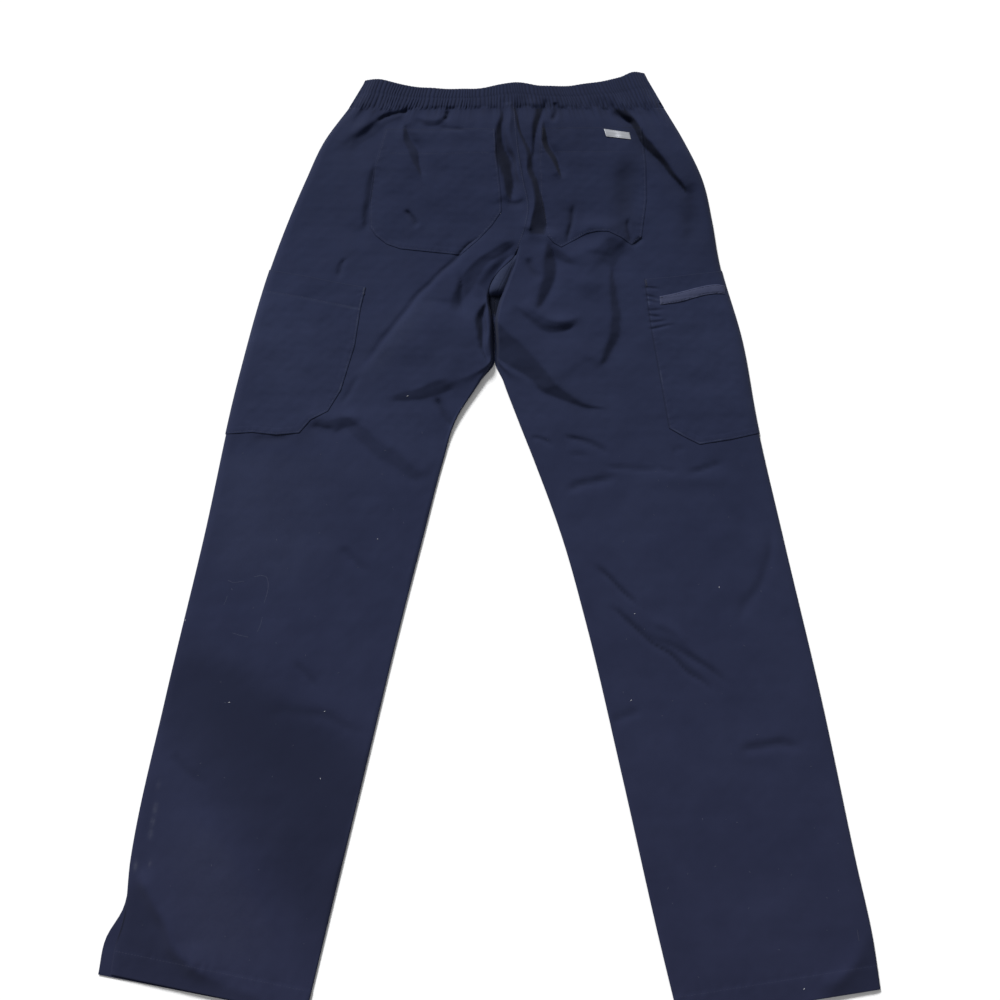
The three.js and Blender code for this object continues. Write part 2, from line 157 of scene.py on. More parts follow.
def curve_through(points):
    """A smooth curve through points of (key, value), whose keys rise or fall steadily"""
    keys, values = np.array(sorted(points), float).T
    slopes = np.gradient(values, keys)

    def value_at(key):
        key = np.clip(key, keys[0], keys[-1])
        index = np.clip(np.searchsorted(keys, key) - 1, 0, len(keys) - 2)
        span = keys[index + 1] - keys[index]
        share = (key - keys[index]) / span
        square = share * share
        cube = square * share
        return ((2 * cube - 3 * square + 1) * values[index]
                + (cube - 2 * square + share) * span * slopes[index]
                + (3 * square - 2 * cube) * values[index + 1]
                + (cube - square) * span * slopes[index + 1])

    return value_at


def ripples(x, y, wavelength, seed):
    """Even, aimless waves about as high as 1, of about one wavelength"""
    draw = np.random.default_rng(seed)
    waves = 14
    total = np.zeros(np.shape(x))
    for _ in range(waves):
        heading = draw.uniform(0, 2 * math.pi)
        turns = 2 * math.pi / (wavelength * draw.uniform(0.7, 1.5))
        phase = draw.uniform(0, 2 * math.pi)
        across = x * math.cos(heading) + y * math.sin(heading)
        total += np.sin(across * turns + phase)
    return total / math.sqrt(waves)


# How strongly the tables of folds and faces act. A face fades out over FACE_FADE at its ends and levels
# out beyond them with FACE_POWER. A trough gets the more painted shade the narrower it is.
FOLD_GAIN = 1.5
FACE_GAIN = 1.35
FACE_FADE = 11
FACE_POWER = 1.7
TROUGH_SHADE = 0.3
TROUGH_WIDTH = 5


class Way:
    """A line over the cloth through a few points. left is to the left of one who walks along it."""

    def __init__(self, points, bend=6):
        points = np.array(points, float)
        if bend > 1 and len(points) > 2:
            steps = np.hypot(*np.diff(points, axis=0).T)
            reached = np.concatenate([[0], np.cumsum(steps)])
            wanted = np.linspace(0, reached[-1], bend * (len(points) - 1) + 1)
            wanted = np.unique(np.concatenate([wanted, reached]))
            columns = [curve_through(list(zip(reached, column)))(wanted) for column in points.T]
            points = np.stack(columns, axis=1)
        self.line = points
        steps = np.hypot(*np.diff(points, axis=0).T)
        self.reached = np.concatenate([[0], np.cumsum(steps)])
        self.length = self.reached[-1]

    def measure(self, x, y):
        """The distance of points from the line, above zero to its left, and how far along they are"""
        nearest = np.full(np.shape(x), np.inf)
        side = np.zeros(np.shape(x))
        along = np.zeros(np.shape(x))
        for start, end, begun in zip(self.line[:-1], self.line[1:], self.reached[:-1]):
            step = end - start
            length = math.hypot(*step)
            share = np.clip(((x - start[0]) * step[0] + (y - start[1]) * step[1]) / length ** 2, 0, 1)
            off_x = x - start[0] - step[0] * share
            off_y = y - start[1] - step[1] * share
            distance = np.hypot(off_x, off_y)
            nearer = distance < nearest
            turned = np.where(step[0] * off_y - step[1] * off_x >= 0, distance, -distance)
            nearest = np.where(nearer, distance, nearest)
            side = np.where(nearer, turned, side)
            along = np.where(nearer, begun + share * length, along)
        return side, along

    def at(self, along, inset=0.0):
        """Points of the line, moved to its left by the inset, and its direction there"""
        x = np.interp(along, self.reached, self.line[:, 0])
        y = np.interp(along, self.reached, self.line[:, 1])
        index = np.clip(np.searchsorted(self.reached, along) - 1, 0, len(self.line) - 2)
        step = self.line[index + 1] - self.line[index]
        step = step / np.hypot(step[:, 0], step[:, 1])[:, None]
        return x - step[:, 1] * inset, y + step[:, 0] * inset, step


def both_ends(value):
    """The values at the start and at the end, which are the same where one number is given"""
    return value if isinstance(value, tuple) else (value, value)


class Fold(Way):
    """A ridge, or a trough where its height is below zero, which gets painted shade.
    left and right are its reach to each side of its crest, at its start and at its end,
    crest is how far the crest lies to the left of the line, and a sharp fold has a low power."""

    def __init__(self, name, height, left, right, crest, power, fades, points):
        super().__init__(points)
        self.name = name
        self.height = height
        self.left = both_ends(left)
        self.right = both_ends(right)
        self.crest = crest
        self.power = power
        self.fades = both_ends(fades)
        self.sides = ("left", "right")
        self.reach = 3 * max(*self.left, *self.right) + abs(crest)

    def at_points(self, x, y):
        """The height at points, and how much painted shade the trough gets there"""
        lift = np.zeros(np.shape(x))
        shade = np.zeros(np.shape(x))
        low = self.line.min(axis=0) - self.reach
        high = self.line.max(axis=0) + self.reach
        near = (x > low[0]) & (x < high[0]) & (y > low[1]) & (y < high[1])
        if not near.any():
            return lift, shade
        side, along = self.measure(x[near], y[near])
        share = along / self.length
        off = side - self.crest
        width = np.where(off > 0, lerp(*self.left, share), lerp(*self.right, share))
        profile = bell(off, width, self.power)
        fade_in, fade_out = self.fades
        ends = smooth(share / fade_in) * smooth((1 - share) / fade_out)
        lift[near] = self.height * profile * ends
        if self.height < 0:
            narrower = np.minimum(lerp(*self.left, share), lerp(*self.right, share))
            narrow = TROUGH_WIDTH / (TROUGH_WIDTH + narrower)
            # Painted shade in the trough, the stronger the deeper and narrower it is
            shade[near] = -TROUGH_SHADE * self.height * narrow * profile ** 2 * ends
        return lift, shade


class Face:
    """The side of a fold that gets painted shade, which falls evenly from its crest line to its foot
    line.
    Its fall is its slope times its width, up to a limit, and sink is the share of the fall that lies
    below the cloth around it. The cloth levels out over a reach beyond the crest and beyond the foot."""

    def __init__(self, name, sides, slope, limit, sink, shade, crest_reach, foot_reach, crest, foot):
        self.name = name
        self.sides = ("left", "right") if sides == "both" else (sides,)
        self.sink = sink
        self.shade = shade
        self.crest_reach = crest_reach
        self.foot_reach = foot_reach
        self.crest = Way(crest)
        self.foot = Way(foot)
        crest_widths, _ = self.foot.measure(*self.crest.line.T)
        foot_widths, _ = self.crest.measure(*self.foot.line.T)
        self.crest_turn = -math.copysign(1, foot_widths[len(foot_widths) // 2])
        self.foot_turn = math.copysign(1, crest_widths[len(crest_widths) // 2])
        self.crest_fall = self.fall(self.crest, np.abs(crest_widths), slope, limit)
        self.foot_fall = self.fall(self.foot, np.abs(foot_widths), slope, limit)

    def fall(self, way, widths, slope, limit):
        ends = smooth(way.reached / FACE_FADE) * smooth((way.length - way.reached) / FACE_FADE)
        return limit * np.tanh(slope * widths / limit) * ends

    def at_points(self, x, y):
        """The height at points, and how much painted shade the face gets there"""
        lift = np.zeros(np.shape(x))
        shade = np.zeros(np.shape(x))
        both = np.concatenate([self.crest.line, self.foot.line])
        margin = 2.6 * max(self.crest_reach, self.foot_reach)
        low = both.min(axis=0) - margin
        high = both.max(axis=0) + margin
        near = (x > low[0]) & (x < high[0]) & (y > low[1]) & (y < high[1])
        if not near.any():
            return lift, shade
        crest_side, crest_along = self.crest.measure(x[near], y[near])
        foot_side, foot_along = self.foot.measure(x[near], y[near])
        crest_side = crest_side * self.crest_turn
        foot_side = foot_side * self.foot_turn
        above = (1 - self.sink) * np.interp(crest_along, self.crest.reached, self.crest_fall)
        above = above * bell(np.maximum(crest_side, 0), self.crest_reach, FACE_POWER)
        foot_fall = np.interp(foot_along, self.foot.reached, self.foot_fall)
        below = -self.sink * foot_fall * bell(np.maximum(-foot_side, 0), self.foot_reach, FACE_POWER)
        to_crest = np.maximum(-crest_side, 0) + 1e-3
        to_foot = np.maximum(foot_side, 0) + 1e-3
        lift[near] = lerp(below, above, to_foot / (to_foot + to_crest))
        depth = np.minimum(-crest_side / 2.5, foot_side / 1.2)
        # Painted shade over the face between its crest and its foot
        shade[near] = self.shade * smooth(depth) * smooth(foot_fall / 2)
        return lift, shade


# Edges of the panels, as points of (y, x) from the waist to the hem
LEFT_OUTSEAM = [
    (475, -172), (430, -199), (376, -219), (271, -251), (122, -281), (-61, -306), (-229, -332),
    (-383, -352), (-441, -354), (-462, -359), (-487, -361),
]
LEFT_FRONT_OUTSEAM = [
    (475, -172), (430, -199), (376, -219), (271, -251), (122, -281), (-61, -306), (-229, -332),
    (-383, -352), (-428, -355), (-452, -368), (-486, -372.6),
]
RIGHT_OUTSEAM = [
    (475, 209.7), (430, 231), (376, 251), (323, 259), (271, 264), (170, 284), (74, 294), (-61, 314),
    (-229, 340), (-383, 360), (-455, 370), (-498.5, 372.6),
]
CENTRE_SEAM = [(479.5, 29), (417, 33.6), (376, 39.4), (338, 45), (306, 39), (281, 30.6)]
LEFT_INSEAM = [
    (274, 26), (256, 9), (237, -1), (218, -1.5), (200, 2), (162, 3), (143.7, 2.5), (122, -10), (74, -38),
    (28, -51), (-61, -72), (-147, -92), (-307, -126.5), (-455, -158.5), (-520.9, -172.5),
]
RIGHT_INSEAM = [
    (274, 29), (256, 23.5), (237, 17), (218, 10), (200, 6), (162, 7), (143.7, 7.5), (122, 14), (74, 31),
    (28, 48), (-61, 78), (-147, 100), (-307, 134), (-455, 164), (-526.4, 179.7),
]
FRONT_FORK = [(274, 27.5), (256, 20), (237, 11), (218, 5.5), (200, 4.2), (162, 5), (150, 5), (143.7, 5)]
BAND_TOP = [
    (-154, 514), (-138, 516), (-106, 507.5), (-60, 502.5), (-10, 503.5), (28, 511.5), (60, 507),
    (88, 506), (121, 510.5), (158, 519), (174, 526.5), (188, 524),
]
band_top_y = curve_through(BAND_TOP)


def waist_y(x):
    return np.interp(x, [SEAM_LEFT_X, SEAM_MIDDLE_X, SEAM_RIGHT_X],
                     [WAIST_SIDE_Y, WAIST_CENTRE_Y, WAIST_SIDE_Y])


class Leg:
    """The edges of one leg. inward is the way from its outseam to the other leg along X."""

    def __init__(self, side, inward, hem_outer_y, hem_inner_y, outseam, front_outseam, inseam):
        self.side = side
        self.inward = inward
        self.hem_outer_y = hem_outer_y
        self.hem_inner_y = hem_inner_y
        self.outer = curve_through(outseam)
        self.front_outer = curve_through(front_outseam)
        self.inner = curve_through(CENTRE_SEAM + inseam)
        below_crotch = [point for point in inseam if point[0] < CROTCH_Y]
        self.front_inner = curve_through(CENTRE_SEAM + FRONT_FORK + below_crotch)

    def place(self, across, down, front=False):
        """The point a share across from the outseam and a share down from the waist"""
        outer = self.front_outer if front else self.outer
        inner = self.front_inner if front else self.inner
        outer_y = lerp(WAIST_SIDE_Y, self.hem_outer_y, down)
        seat_y = lerp(WAIST_CENTRE_Y, CROTCH_Y, down / CROTCH_SHARE)
        leg_y = lerp(CROTCH_Y, self.hem_inner_y, (down - CROTCH_SHARE) / (1 - CROTCH_SHARE))
        inner_y = np.where(down <= CROTCH_SHARE, seat_y, leg_y)
        gap = -self.inward * LAYER_GAP / 2
        x = lerp(outer(outer_y), inner(inner_y) + gap, across)
        return x, lerp(outer_y, inner_y, across)

    def surface(self, x, y):
        """Height of the back's outer side"""
        return back_top(self, x, y)

    def hem_y(self, x, y):
        outer_x = self.outer(y)
        share = np.clip((x - outer_x) / (self.inner(y) - outer_x), 0, 1)
        return lerp(self.hem_outer_y, self.hem_inner_y, share)

    def waist_share(self, x, y):
        """Where a point would be along the waist seam, from 0 at its left end to 1 at its right"""
        outer_x = self.outer(y)
        share = np.clip((x - outer_x) / (self.inner(y) - outer_x), 0, 1)
        outer_end = SEAM_LEFT_X if self.inward > 0 else SEAM_RIGHT_X
        seam_x = lerp(outer_end, SEAM_MIDDLE_X, share)
        return (seam_x - SEAM_LEFT_X) / (SEAM_RIGHT_X - SEAM_LEFT_X)


left_leg = Leg("left", 1, -485.5, -520.9, LEFT_OUTSEAM, LEFT_FRONT_OUTSEAM, LEFT_INSEAM)
right_leg = Leg("right", -1, -498.5, -526.4, RIGHT_OUTSEAM, RIGHT_OUTSEAM, RIGHT_INSEAM)

# Folds of the back. Columns: name, height, reach to the left, reach to the right, crest off the line,
# power, fades at the start and the end as shares of the length, and the points (x, y) of the line.
# A reach or a fade is one number where it is the same at the start and at the end.
SHORT = (0.25, 0.3)
FOLDS = [
    # Waist, left of the centre seam
    ("waist_left_ridge", 1.8, (8, 9), (8, 12), 0, 1.9, (0.05, 0.5),
     [(-120, 478), (-141, 460), (-170, 436), (-195, 414)]),
    ("left_pocket_mark", -1.8, 3, 3, 0, 1.6, SHORT, [(-100, 336), (-92, 323), (-84, 311)]),
    # Centre seam and its two gullies
    ("centre_ridge", 2.4, (5, 6), 6, 0, 2, (0.02, 0.3),
     [(20, 484), (22, 442), (29, 412), (34, 383), (38, 355), (41, 325)]),
    ("gully_foot", -1.3, 3, 5, 0, 1.6, SHORT, [(18, 348), (30, 345), (41, 351)]),
    ("right_dot", -2.6, 3, 3, 0, 1.7, (0.1, 0.25), [(79, 484), (80, 470), (74, 457)]),
    # Right hip
    ("hip_right_soft", -1.6, 13, 11, 0, 2, (0.3, 0.4), [(224, 384), (238, 337), (239, 290)]),
    ("hip_right_low", -1.4, 11, 11, 0, 2, 0.4, [(234, 345), (234, 312), (231, 278)]),
    ("seat_right_soft", -1.9, 17, 12, 0, 2, (0.3, 0.35), [(162, 405), (159, 365), (156, 318)]),
    ("seat_right_crease", -2.0, 2.5, 3.5, 0, 1.5, SHORT, [(97, 345), (95, 322), (89, 288)]),
    ("right_pocket_nick", -1.6, 2.5, 3, 0, 1.5, SHORT, [(161, 326), (162, 308), (165, 288)]),
    ("right_pocket_nick_low", -1.4, 2.5, 3, 0, 1.5, SHORT, [(178, 302), (171, 294), (162, 288)]),
    ("right_pocket_swell", 2.4, 9, 9, 0, 2, 0.4, [(96, 300), (118, 316), (140, 314), (160, 303)]),
    # The long fold from the crotch to the left thigh: a thin crease, then a steep step up
    ("left_step_top", 0.6, (15, 22), 6, 7, 1.7, (0.2, 0.35),
     [(14, 318), (-5, 309), (-24, 292), (-35, 277), (-49, 263), (-63, 250), (-85, 222)]),
    ("left_step", 1.1, (30, 46), (8, 9), 9, 1.6, 0.3,
     [(-35, 276), (-49, 263), (-63, 250), (-85, 222), (-109, 190), (-127, 163), (-148, 132), (-163, 96)]),
    ("left_step_crease", -1.7, 2.2, 3, 0, 1.3, (0.15, 0.25),
     [(-5, 309), (-24, 291), (-49, 263), (-85, 222), (-109, 190), (-127, 163), (-148, 132)]),
    ("left_thigh_swell", 3.0, 36, 36, 0, 2.2, (0.35, 0.4), [(-44, 226), (-68, 182), (-104, 132)]),
    ("crotch_ridge", 1.5, 9, 9, 0, 1.9, (0.25, 0.35), [(22, 288), (0, 264), (-15, 238), (-21, 206)]),
    ("crotch_thread_crease", -1.2, 3, 3, 0, 1.4, SHORT, [(-37, 258), (-33, 230), (-31, 200)]),
    ("crotch_lip", 2.6, 4, 4, 0, 1.8, (0.2, 0.25), [(-4, 226), (-3, 195), (-3, 170), (-1, 145)]),
    ("left_thigh_mark", -1.1, 3, 3, 0, 1.5, SHORT, [(-59, 100), (-51, 82), (-42, 66)]),
    # Right thigh
    ("centre_ridge_foot", 1.0, 8, 7, 0, 1.9, (0.2, 0.3), [(38, 303), (55, 303), (66, 291), (68, 270)]),
    ("right_s_branch", -2.0, 4, 4, 0, 1.6, (0.3, 0.35), [(43, 275), (50, 257), (58, 242)]),
    ("right_thigh_swell", 3.4, (19, 22), 18, 0, 2.1, (0.25, 0.35), [(98, 298), (114, 258), (106, 216)]),
    ("right_j_ridge", 2.2, 10, 5, 0, 1.7, (0.25, 0.35),
     [(36, 221), (56, 201), (75, 194), (90, 196), (104, 206)]),
    ("right_tuck_glint", 0.3, 4, 4, 0, 1.6, SHORT, [(55, 114), (66, 114), (80, 119)]),
    # Smaller creases, from the waist down to the knees and the right shin
    ("waist_left_strip", -2.4, (3, 4), (3, 4), 0, 1.8, (0.1, 0.3),
     [(-101, 472), (-116, 468), (-128, 462), (-139, 451)]),
    ("waist_left_outer", -1.2, (7, 8), (7, 9), 0, 1.8, (0.2, 0.4),
     [(-134, 455), (-157, 438), (-182, 417)]),
    ("swag_dot", -2.4, 2.5, 2.5, 0, 1.8, SHORT, [(-52, 472), (-53, 464), (-57, 457)]),
    ("left_pocket_top_crease", -1.0, 3, 3, 0, 1.6, SHORT, [(-64, 449), (-47, 446), (-28, 444)]),
    ("left_inseam_crease", -2.2, 3, 3, 0, 1.5, SHORT, [(-60, 102), (-53, 85), (-44, 70), (-39, 63)]),
    ("knee_left_patch", -1.0, 3, (6, 8), 0, 1.6, SHORT, [(-267, 56), (-244, 54), (-213, 56)]),
    ("knee_left_nick", -0.8, 3, 3, 0, 1.6, SHORT, [(-194, 71), (-184, 66), (-172, 63)]),
    ("left_thigh_tuck", -1.4, 2, 2.4, 0, 1.5, SHORT, [(-169, 276), (-172, 259), (-175, 243)]),
    ("knee_right_wedge", -1.4, 2.5, (3, 4), 0, 1.5, SHORT, [(80, 58), (99, 51), (117, 44), (136, 36)]),
    ("knee_right_dash", -0.9, 2, 2.5, 0, 1.5, SHORT, [(87, 33), (97, 34), (108, 32)]),
    ("knee_right_line", -1.0, 2, 2.5, 0, 1.5, SHORT, [(120, 23), (142, 19), (169, 18), (187, 20)]),
    ("knee_right_wave", -0.8, 2, 2.5, 0, 1.5, SHORT, [(174, 18), (187, 20), (196, 16), (207, 17)]),
    ("knee_right_far", -1.1, 2, 3, 0, 1.5, SHORT, [(207, 12), (226, 16), (242, 23), (260, 28)]),
    ("knee_right_low", -1.4, 3, 4, 0, 1.6, SHORT, [(78, -8), (95, -1), (117, 5), (141, 10)]),
    ("knee_right_inner", -0.9, 2, 2.5, 0, 1.5, SHORT, [(45, 54), (55, 53), (71, 46)]),
    ("knee_right_spot", -0.8, 2, 2, 0, 1.5, SHORT, [(200, 38), (208, 40), (216, 41)]),
    ("knee_right_swell", 0.6, 7, 8, 0, 1.9, SHORT, [(147, 8), (206, 6), (272, 12)]),
    ("shin_right_a", -2.2, 1.8, 2.6, 0, 1.4, SHORT,
     [(112, -86), (121, -96), (139, -113), (151, -128), (160, -137)]),
    ("shin_right_b", -2.9, 2, 2.8, 0, 1.4, SHORT,
     [(121, -130), (144, -147), (165, -165), (194, -188), (209, -201), (234, -227)]),
    ("shin_right_b_ridge", 1.2, 6, 5, 8, 1.6, SHORT,
     [(157, -149), (180, -161), (208, -184), (233, -213)]),
    ("shin_right_c", -1.1, 2.5, 3, 0, 1.6, SHORT, [(157, -155), (181, -170), (208, -183), (255, -221)]),
    ("shin_right_d", -1.6, 3, 5, 0, 1.6, SHORT, [(249, -280), (265, -276), (289, -272), (322, -274)]),
    ("shin_right_f", -1.1, 3, 4, 0, 1.7, SHORT, [(121, -251), (138, -244), (158, -240)]),
    ("knee_left_c", -0.9, 3, 3, 0, 1.5, SHORT, [(-148, 128), (-157, 108), (-166, 90)]),
    ("knee_left_d", -1.0, 4, 5, 0, 1.6, SHORT, [(-160, -66), (-145, -82), (-124, -97)]),
    # Lower shins and hems
    ("shin_right_e", -1.0, 5, 6, 0, 1.7, SHORT, [(252, -153), (275, -122), (288, -104), (302, -40)]),
    ("hem_right_ridge", 1.2, 8, 8, 0, 1.9, 0.3, [(312, -500), (335, -490), (352, -474), (362, -452)]),
    ("shin_left_band", -2.2, (36, 34), (32, 34), 0, 2, (0.25, 0.35),
     [(-322, -179), (-288, -224), (-247, -258), (-192, -292), (-162, -335), (-148, -398)]),
    ("shin_left_a", -1.2, 4, 6, 0, 1.5, SHORT,
     [(-240, -246), (-218, -240), (-195, -240), (-159, -248), (-122, -264)]),
    ("shin_left_b", -0.9, 4, 5, 0, 1.6, SHORT, [(-321, -280), (-300, -302), (-279, -313)]),
    ("shin_left_c", -0.9, 4, 4, 0, 1.6, SHORT, [(-207, -191), (-188, -202), (-173, -219)]),
    ("hem_left_ridge", 3.0, (13, 15), (6, 7), 5, 1.8, (0.15, 0.3),
     [(-352, -396), (-340, -410), (-328, -427), (-317, -442), (-303, -471), (-285, -484), (-250, -500)]),
]

# Shaded sides of folds. Columns: name, leg, slope, limit of the fall, sink, painted shade, reach beyond
# the crest, reach beyond the foot, and the points (x, y) of the crest and of the foot.
FACES = [
    ("waist_left", "left", 0.2, 2, 0.5, 0.1, 12, 12,
     [(-97, 489), (-104, 481), (-112, 473), (-133, 461), (-158, 440), (-171, 417)],
     [(-95, 487), (-101, 477), (-108, 465), (-123, 452), (-143, 434), (-170, 411)]),
    ("waist_swag", "left", 0.4, 2.6, 0.5, 0.12, 8, 9,
     [(-92, 468), (-79, 459), (-65, 459), (-53, 468)],
     [(-91, 465), (-79, 451), (-65, 451), (-53, 464)]),
    ("waist_spindle", "left", 0.65, 5.5, 0.6, 0.3, 16, 7,
     [(-108, 456), (-105, 434), (-97, 409), (-84, 377)],
     [(-106, 456), (-95, 431), (-86, 405), (-82, 377)]),
    ("beside_left_pocket", "left", 0.45, 3, 0.6, 0.25, 18, 10,
     [(-137, 401), (-146, 380), (-149, 351), (-152, 307)],
     [(-136, 400), (-139, 376), (-141, 344), (-148, 307)]),
    ("centre_left", "both", 0.68, 8, 0.6, 0.68, 20, 5,
     [(9, 494), (9, 481), (8, 463), (6, 444), (4, 424), (6, 403), (11, 387), (15, 373), (19, 357),
      (23, 346)],
     [(12, 494), (12, 481), (13, 463), (14, 444), (16, 421), (22, 407), (25, 389), (28, 374), (27, 360),
      (24, 346)]),
    ("centre_right", "both", 0.8, 8, 0.5, 0.66, 9, 10,
     [(25, 494), (26, 481), (28, 468), (35, 435), (42, 407), (47, 379), (50, 356), (49, 330), (45, 304)],
     [(29, 494), (30, 481), (32, 468), (39, 435), (48, 407), (55, 379), (60, 354), (65, 327), (64, 302)]),
    ("centre_right_pleat", "right", 0.8, 7, 0.6, 0.75, 7, 5,
     [(52, 494), (52, 481), (51, 469), (49, 447), (48, 424), (46, 402)],
     [(69, 494), (65, 481), (60, 469), (56, 447), (52, 428), (48, 402)]),
    ("right_spindle", "right", 1.0, 7, 0.6, 0.8, 9, 6,
     [(61, 462), (62, 431), (69, 408), (82, 378)],
     [(62, 462), (70, 431), (77, 407), (85, 378)]),
    ("hip_right_short", "right", 0.7, 4, 0.6, 0.4, 7, 6,
     [(145, 479), (158, 471), (174, 457)],
     [(146, 472), (156, 461), (174, 452)]),
    ("hip_right_long", "right", 0.8, 7.5, 0.5, 0.85, 15, 11,
     [(147, 500), (154, 489), (164, 475), (190, 432), (211, 400), (235, 358)],
     [(133, 500), (140, 489), (147, 477), (168, 450), (187, 417), (204, 396), (231, 356)]),
    ("below_right_pocket", "right", 0.34, 4.5, 0.4, 0.16, 12, 18,
     [(119, 276), (126, 289), (138, 299), (160, 288)],
     [(120, 274), (141, 261), (151, 274), (162, 286)]),
    ("crotch_face", "left", 0.33, 5, 0.5, 0.13, 20, 16,
     [(31, 300), (11, 292), (-6, 280), (-24, 263), (-38, 243), (-46, 212)],
     [(29, 291), (12, 277), (-2, 268), (-11, 252), (-22, 232), (-40, 202)]),
    ("crescent", "left", 0.9, 6, 0.7, 0.6, 24, 4,
     [(-6, 220), (-16, 201), (-17, 183), (-12, 164), (-3, 139)],
     [(-5, 220), (-7, 195), (-8, 177), (-7, 158), (-2, 139)]),
    ("thigh_drop", "left", 0.2, 2.8, 0.5, 0.22, 25, 14,
     [(-114, 101), (-86, 112), (-66, 119), (-48, 122), (-36, 119)],
     [(-114, 97), (-88, 98), (-68, 101), (-50, 106), (-37, 114)]),
    ("s_gully", "right", 0.45, 5.5, 0.55, 0.3, 13, 7,
     [(64, 296), (61, 268), (59, 245), (54, 226), (50, 206)],
     [(67, 297), (76, 268), (72, 243), (63, 222), (52, 204)]),
    ("knee_left_brow", "left", 0.3, 2.2, 0.5, 0.12, 9, 9,
     [(-203, 76), (-190, 78), (-179, 75), (-167, 77), (-157, 78), (-138, 75)],
     [(-203, 72), (-192, 65), (-183, 61), (-171, 61), (-160, 65), (-140, 70)]),
    ("knee_left_slant", "left", 0.24, 2.2, 0.5, 0.14, 14, 15,
     [(-164, 79), (-152, 74), (-141, 68), (-126, 56), (-110, 44), (-88, 27), (-66, 9)],
     [(-169, 73), (-158, 64), (-149, 55), (-134, 41), (-116, 28), (-94, 11), (-70, 2)]),
    ("notch", "right", 0.3, 2.4, 0.5, 0.2, 8, 8,
     [(68, 291), (83, 282), (101, 265)],
     [(69, 288), (80, 271), (100, 262)]),
    ("j_gully", "right", 0.36, 3, 0.5, 0.16, 11, 14,
     [(29, 218), (43, 203), (58, 192), (75, 188), (98, 192)],
     [(29, 213), (42, 195), (57, 184), (75, 180), (98, 188)]),
    ("right_curve", "right", 0.45, 4, 0.4, 0.32, 26, 16,
     [(139, 266), (136, 220), (136, 195), (134, 177), (127, 158), (118, 138)],
     [(140, 266), (146, 220), (149, 195), (147, 177), (138, 157), (121, 137)]),
    ("right_tuck", "right", 0.36, 9, 0.25, 0.3, 44, 9,
     [(-30, 208), (5, 198), (19, 183), (33, 167), (50, 149), (64, 131), (78, 113), (94, 101), (111, 93),
      (131, 87)],
     [(-30, 160), (5, 149), (19, 142), (33, 132), (47, 121), (55, 111), (67, 104), (80, 97), (100, 91),
      (131, 86)]),
]

# Broad darker and lighter places. Columns as for folds, with the tone in place of the height.
TONES = [
    # Painted shade in a broad band over the left shin
    ("shin_left", -0.37, (20, 92), (30, 112), 0, 5, (0.45, 0.02),
     [(-400, -125), (-353, -168), (-309, -205), (-264, -244), (-211, -290), (-143, -346), (-85, -395),
      (-60, -415)]),
    # Painted shade beside the left hem's ridge
    ("hem_left", -0.3, (5, 6), 70, 0, 2.5, (0.12, 0.02),
     [(-352, -395), (-340, -410), (-328, -427), (-317, -442), (-303, -471), (-285, -484), (-250, -500),
      (-215, -512)]),
    # Painted shade beside the right hem's ridge
    ("hem_right", -0.3, 9, 26, 0, 2.2, (0.3, 0.15),
     [(308, -508), (334, -499), (356, -486), (368, -468), (371, -446)]),
    # Painted shade down a soft fold of the right seat
    ("seat_column", -0.2, 16, 16, 0, 2.4, (0.2, 0.3), [(166, 430), (161, 380), (154, 320), (143, 275)]),
    ("hip_right", -0.2, 26, 26, 0, 2.2, (0.2, 0.3), [(232, 420), (244, 330), (256, 230)]),
    ("seat_right", -0.13, 90, 90, 0, 3, (0.02, 0.35), [(120, 530), (130, 380), (140, 230)]),
    ("seat_left", -0.15, 150, 150, 0, 4, (0.02, 0.4), [(-60, 540), (-80, 380), (-110, 190)]),
    ("right_leg", -0.07, 200, 200, 0, 6, 0.01, [(200, 540), (220, 0), (260, -600)]),
    ("waist", -0.12, 40, 30, 0, 3, 0.01, [(-240, 500), (29, 500), (270, 500)]),
    ("hip_left", -0.09, 45, 45, 0, 3, (0.1, 0.4), [(-150, 500), (-185, 400), (-215, 290)]),
    # Painted shade in the core of the gully left of the centre seam
    ("gully_core", -0.45, 4, 5, 0, 2, 0.3, [(13, 416), (18, 397), (22, 376)]),
    # Painted shadow along the long fold of the right hip
    ("hip_shadow", -0.3, (7, 5), (10, 8), 0, 2, (0.25, 0.3),
     [(158, 474), (183, 430), (204, 403), (224, 376)]),
    # Painted shade on the right tuck's face
    ("tuck_dark", -0.22, (12, 8), (12, 8), 0, 2, 0.3,
     [(33, 148), (48, 133), (66, 118), (86, 102), (118, 89)]),
    # Painted highlight beside the long step of the left thigh
    ("step_bright", 0.07, 9, (22, 30), 0, 1.8, (0.15, 0.3),
     [(2, 300), (-41, 250), (-97, 181), (-140, 114), (-155, 90)]),
    # Painted shade under the bottom of the left cargo pocket
    ("under_pocket", -0.14, 8, 12, 0, 2, (0.1, 0.2), [(-296, 55), (-250, 52), (-205, 58), (-180, 68)]),
    ("knee_left", 0.05, 80, 80, 0, 2.5, (0.2, 0.3), [(-215, 60), (-235, -40), (-250, -130)]),
    ("hem_left_bright", 0.07, 50, 50, 0, 2.5, 0.3, [(-300, -330), (-260, -420), (-240, -500)]),
]

# Puckers beside the stitched edge of the right cargo pocket
PUCKERS = [
    [(176, 233), (196, 235)], [(177, 224), (196, 222)], [(178, 218), (197, 217)],
    [(177, 207), (203, 210)], [(178, 202), (199, 200)], [(178, 193), (204, 195)],
    [(178, 184), (213, 189)],
]
folds = [Fold(*row) for row in FOLDS]
folds += [Fold("pucker", -0.8, 1.6, 1.8, 0, 1.6, (0.12, 0.5), points) for points in PUCKERS]
faces = [Face(*row) for row in FACES]
tones = [Fold(*row) for row in TONES]

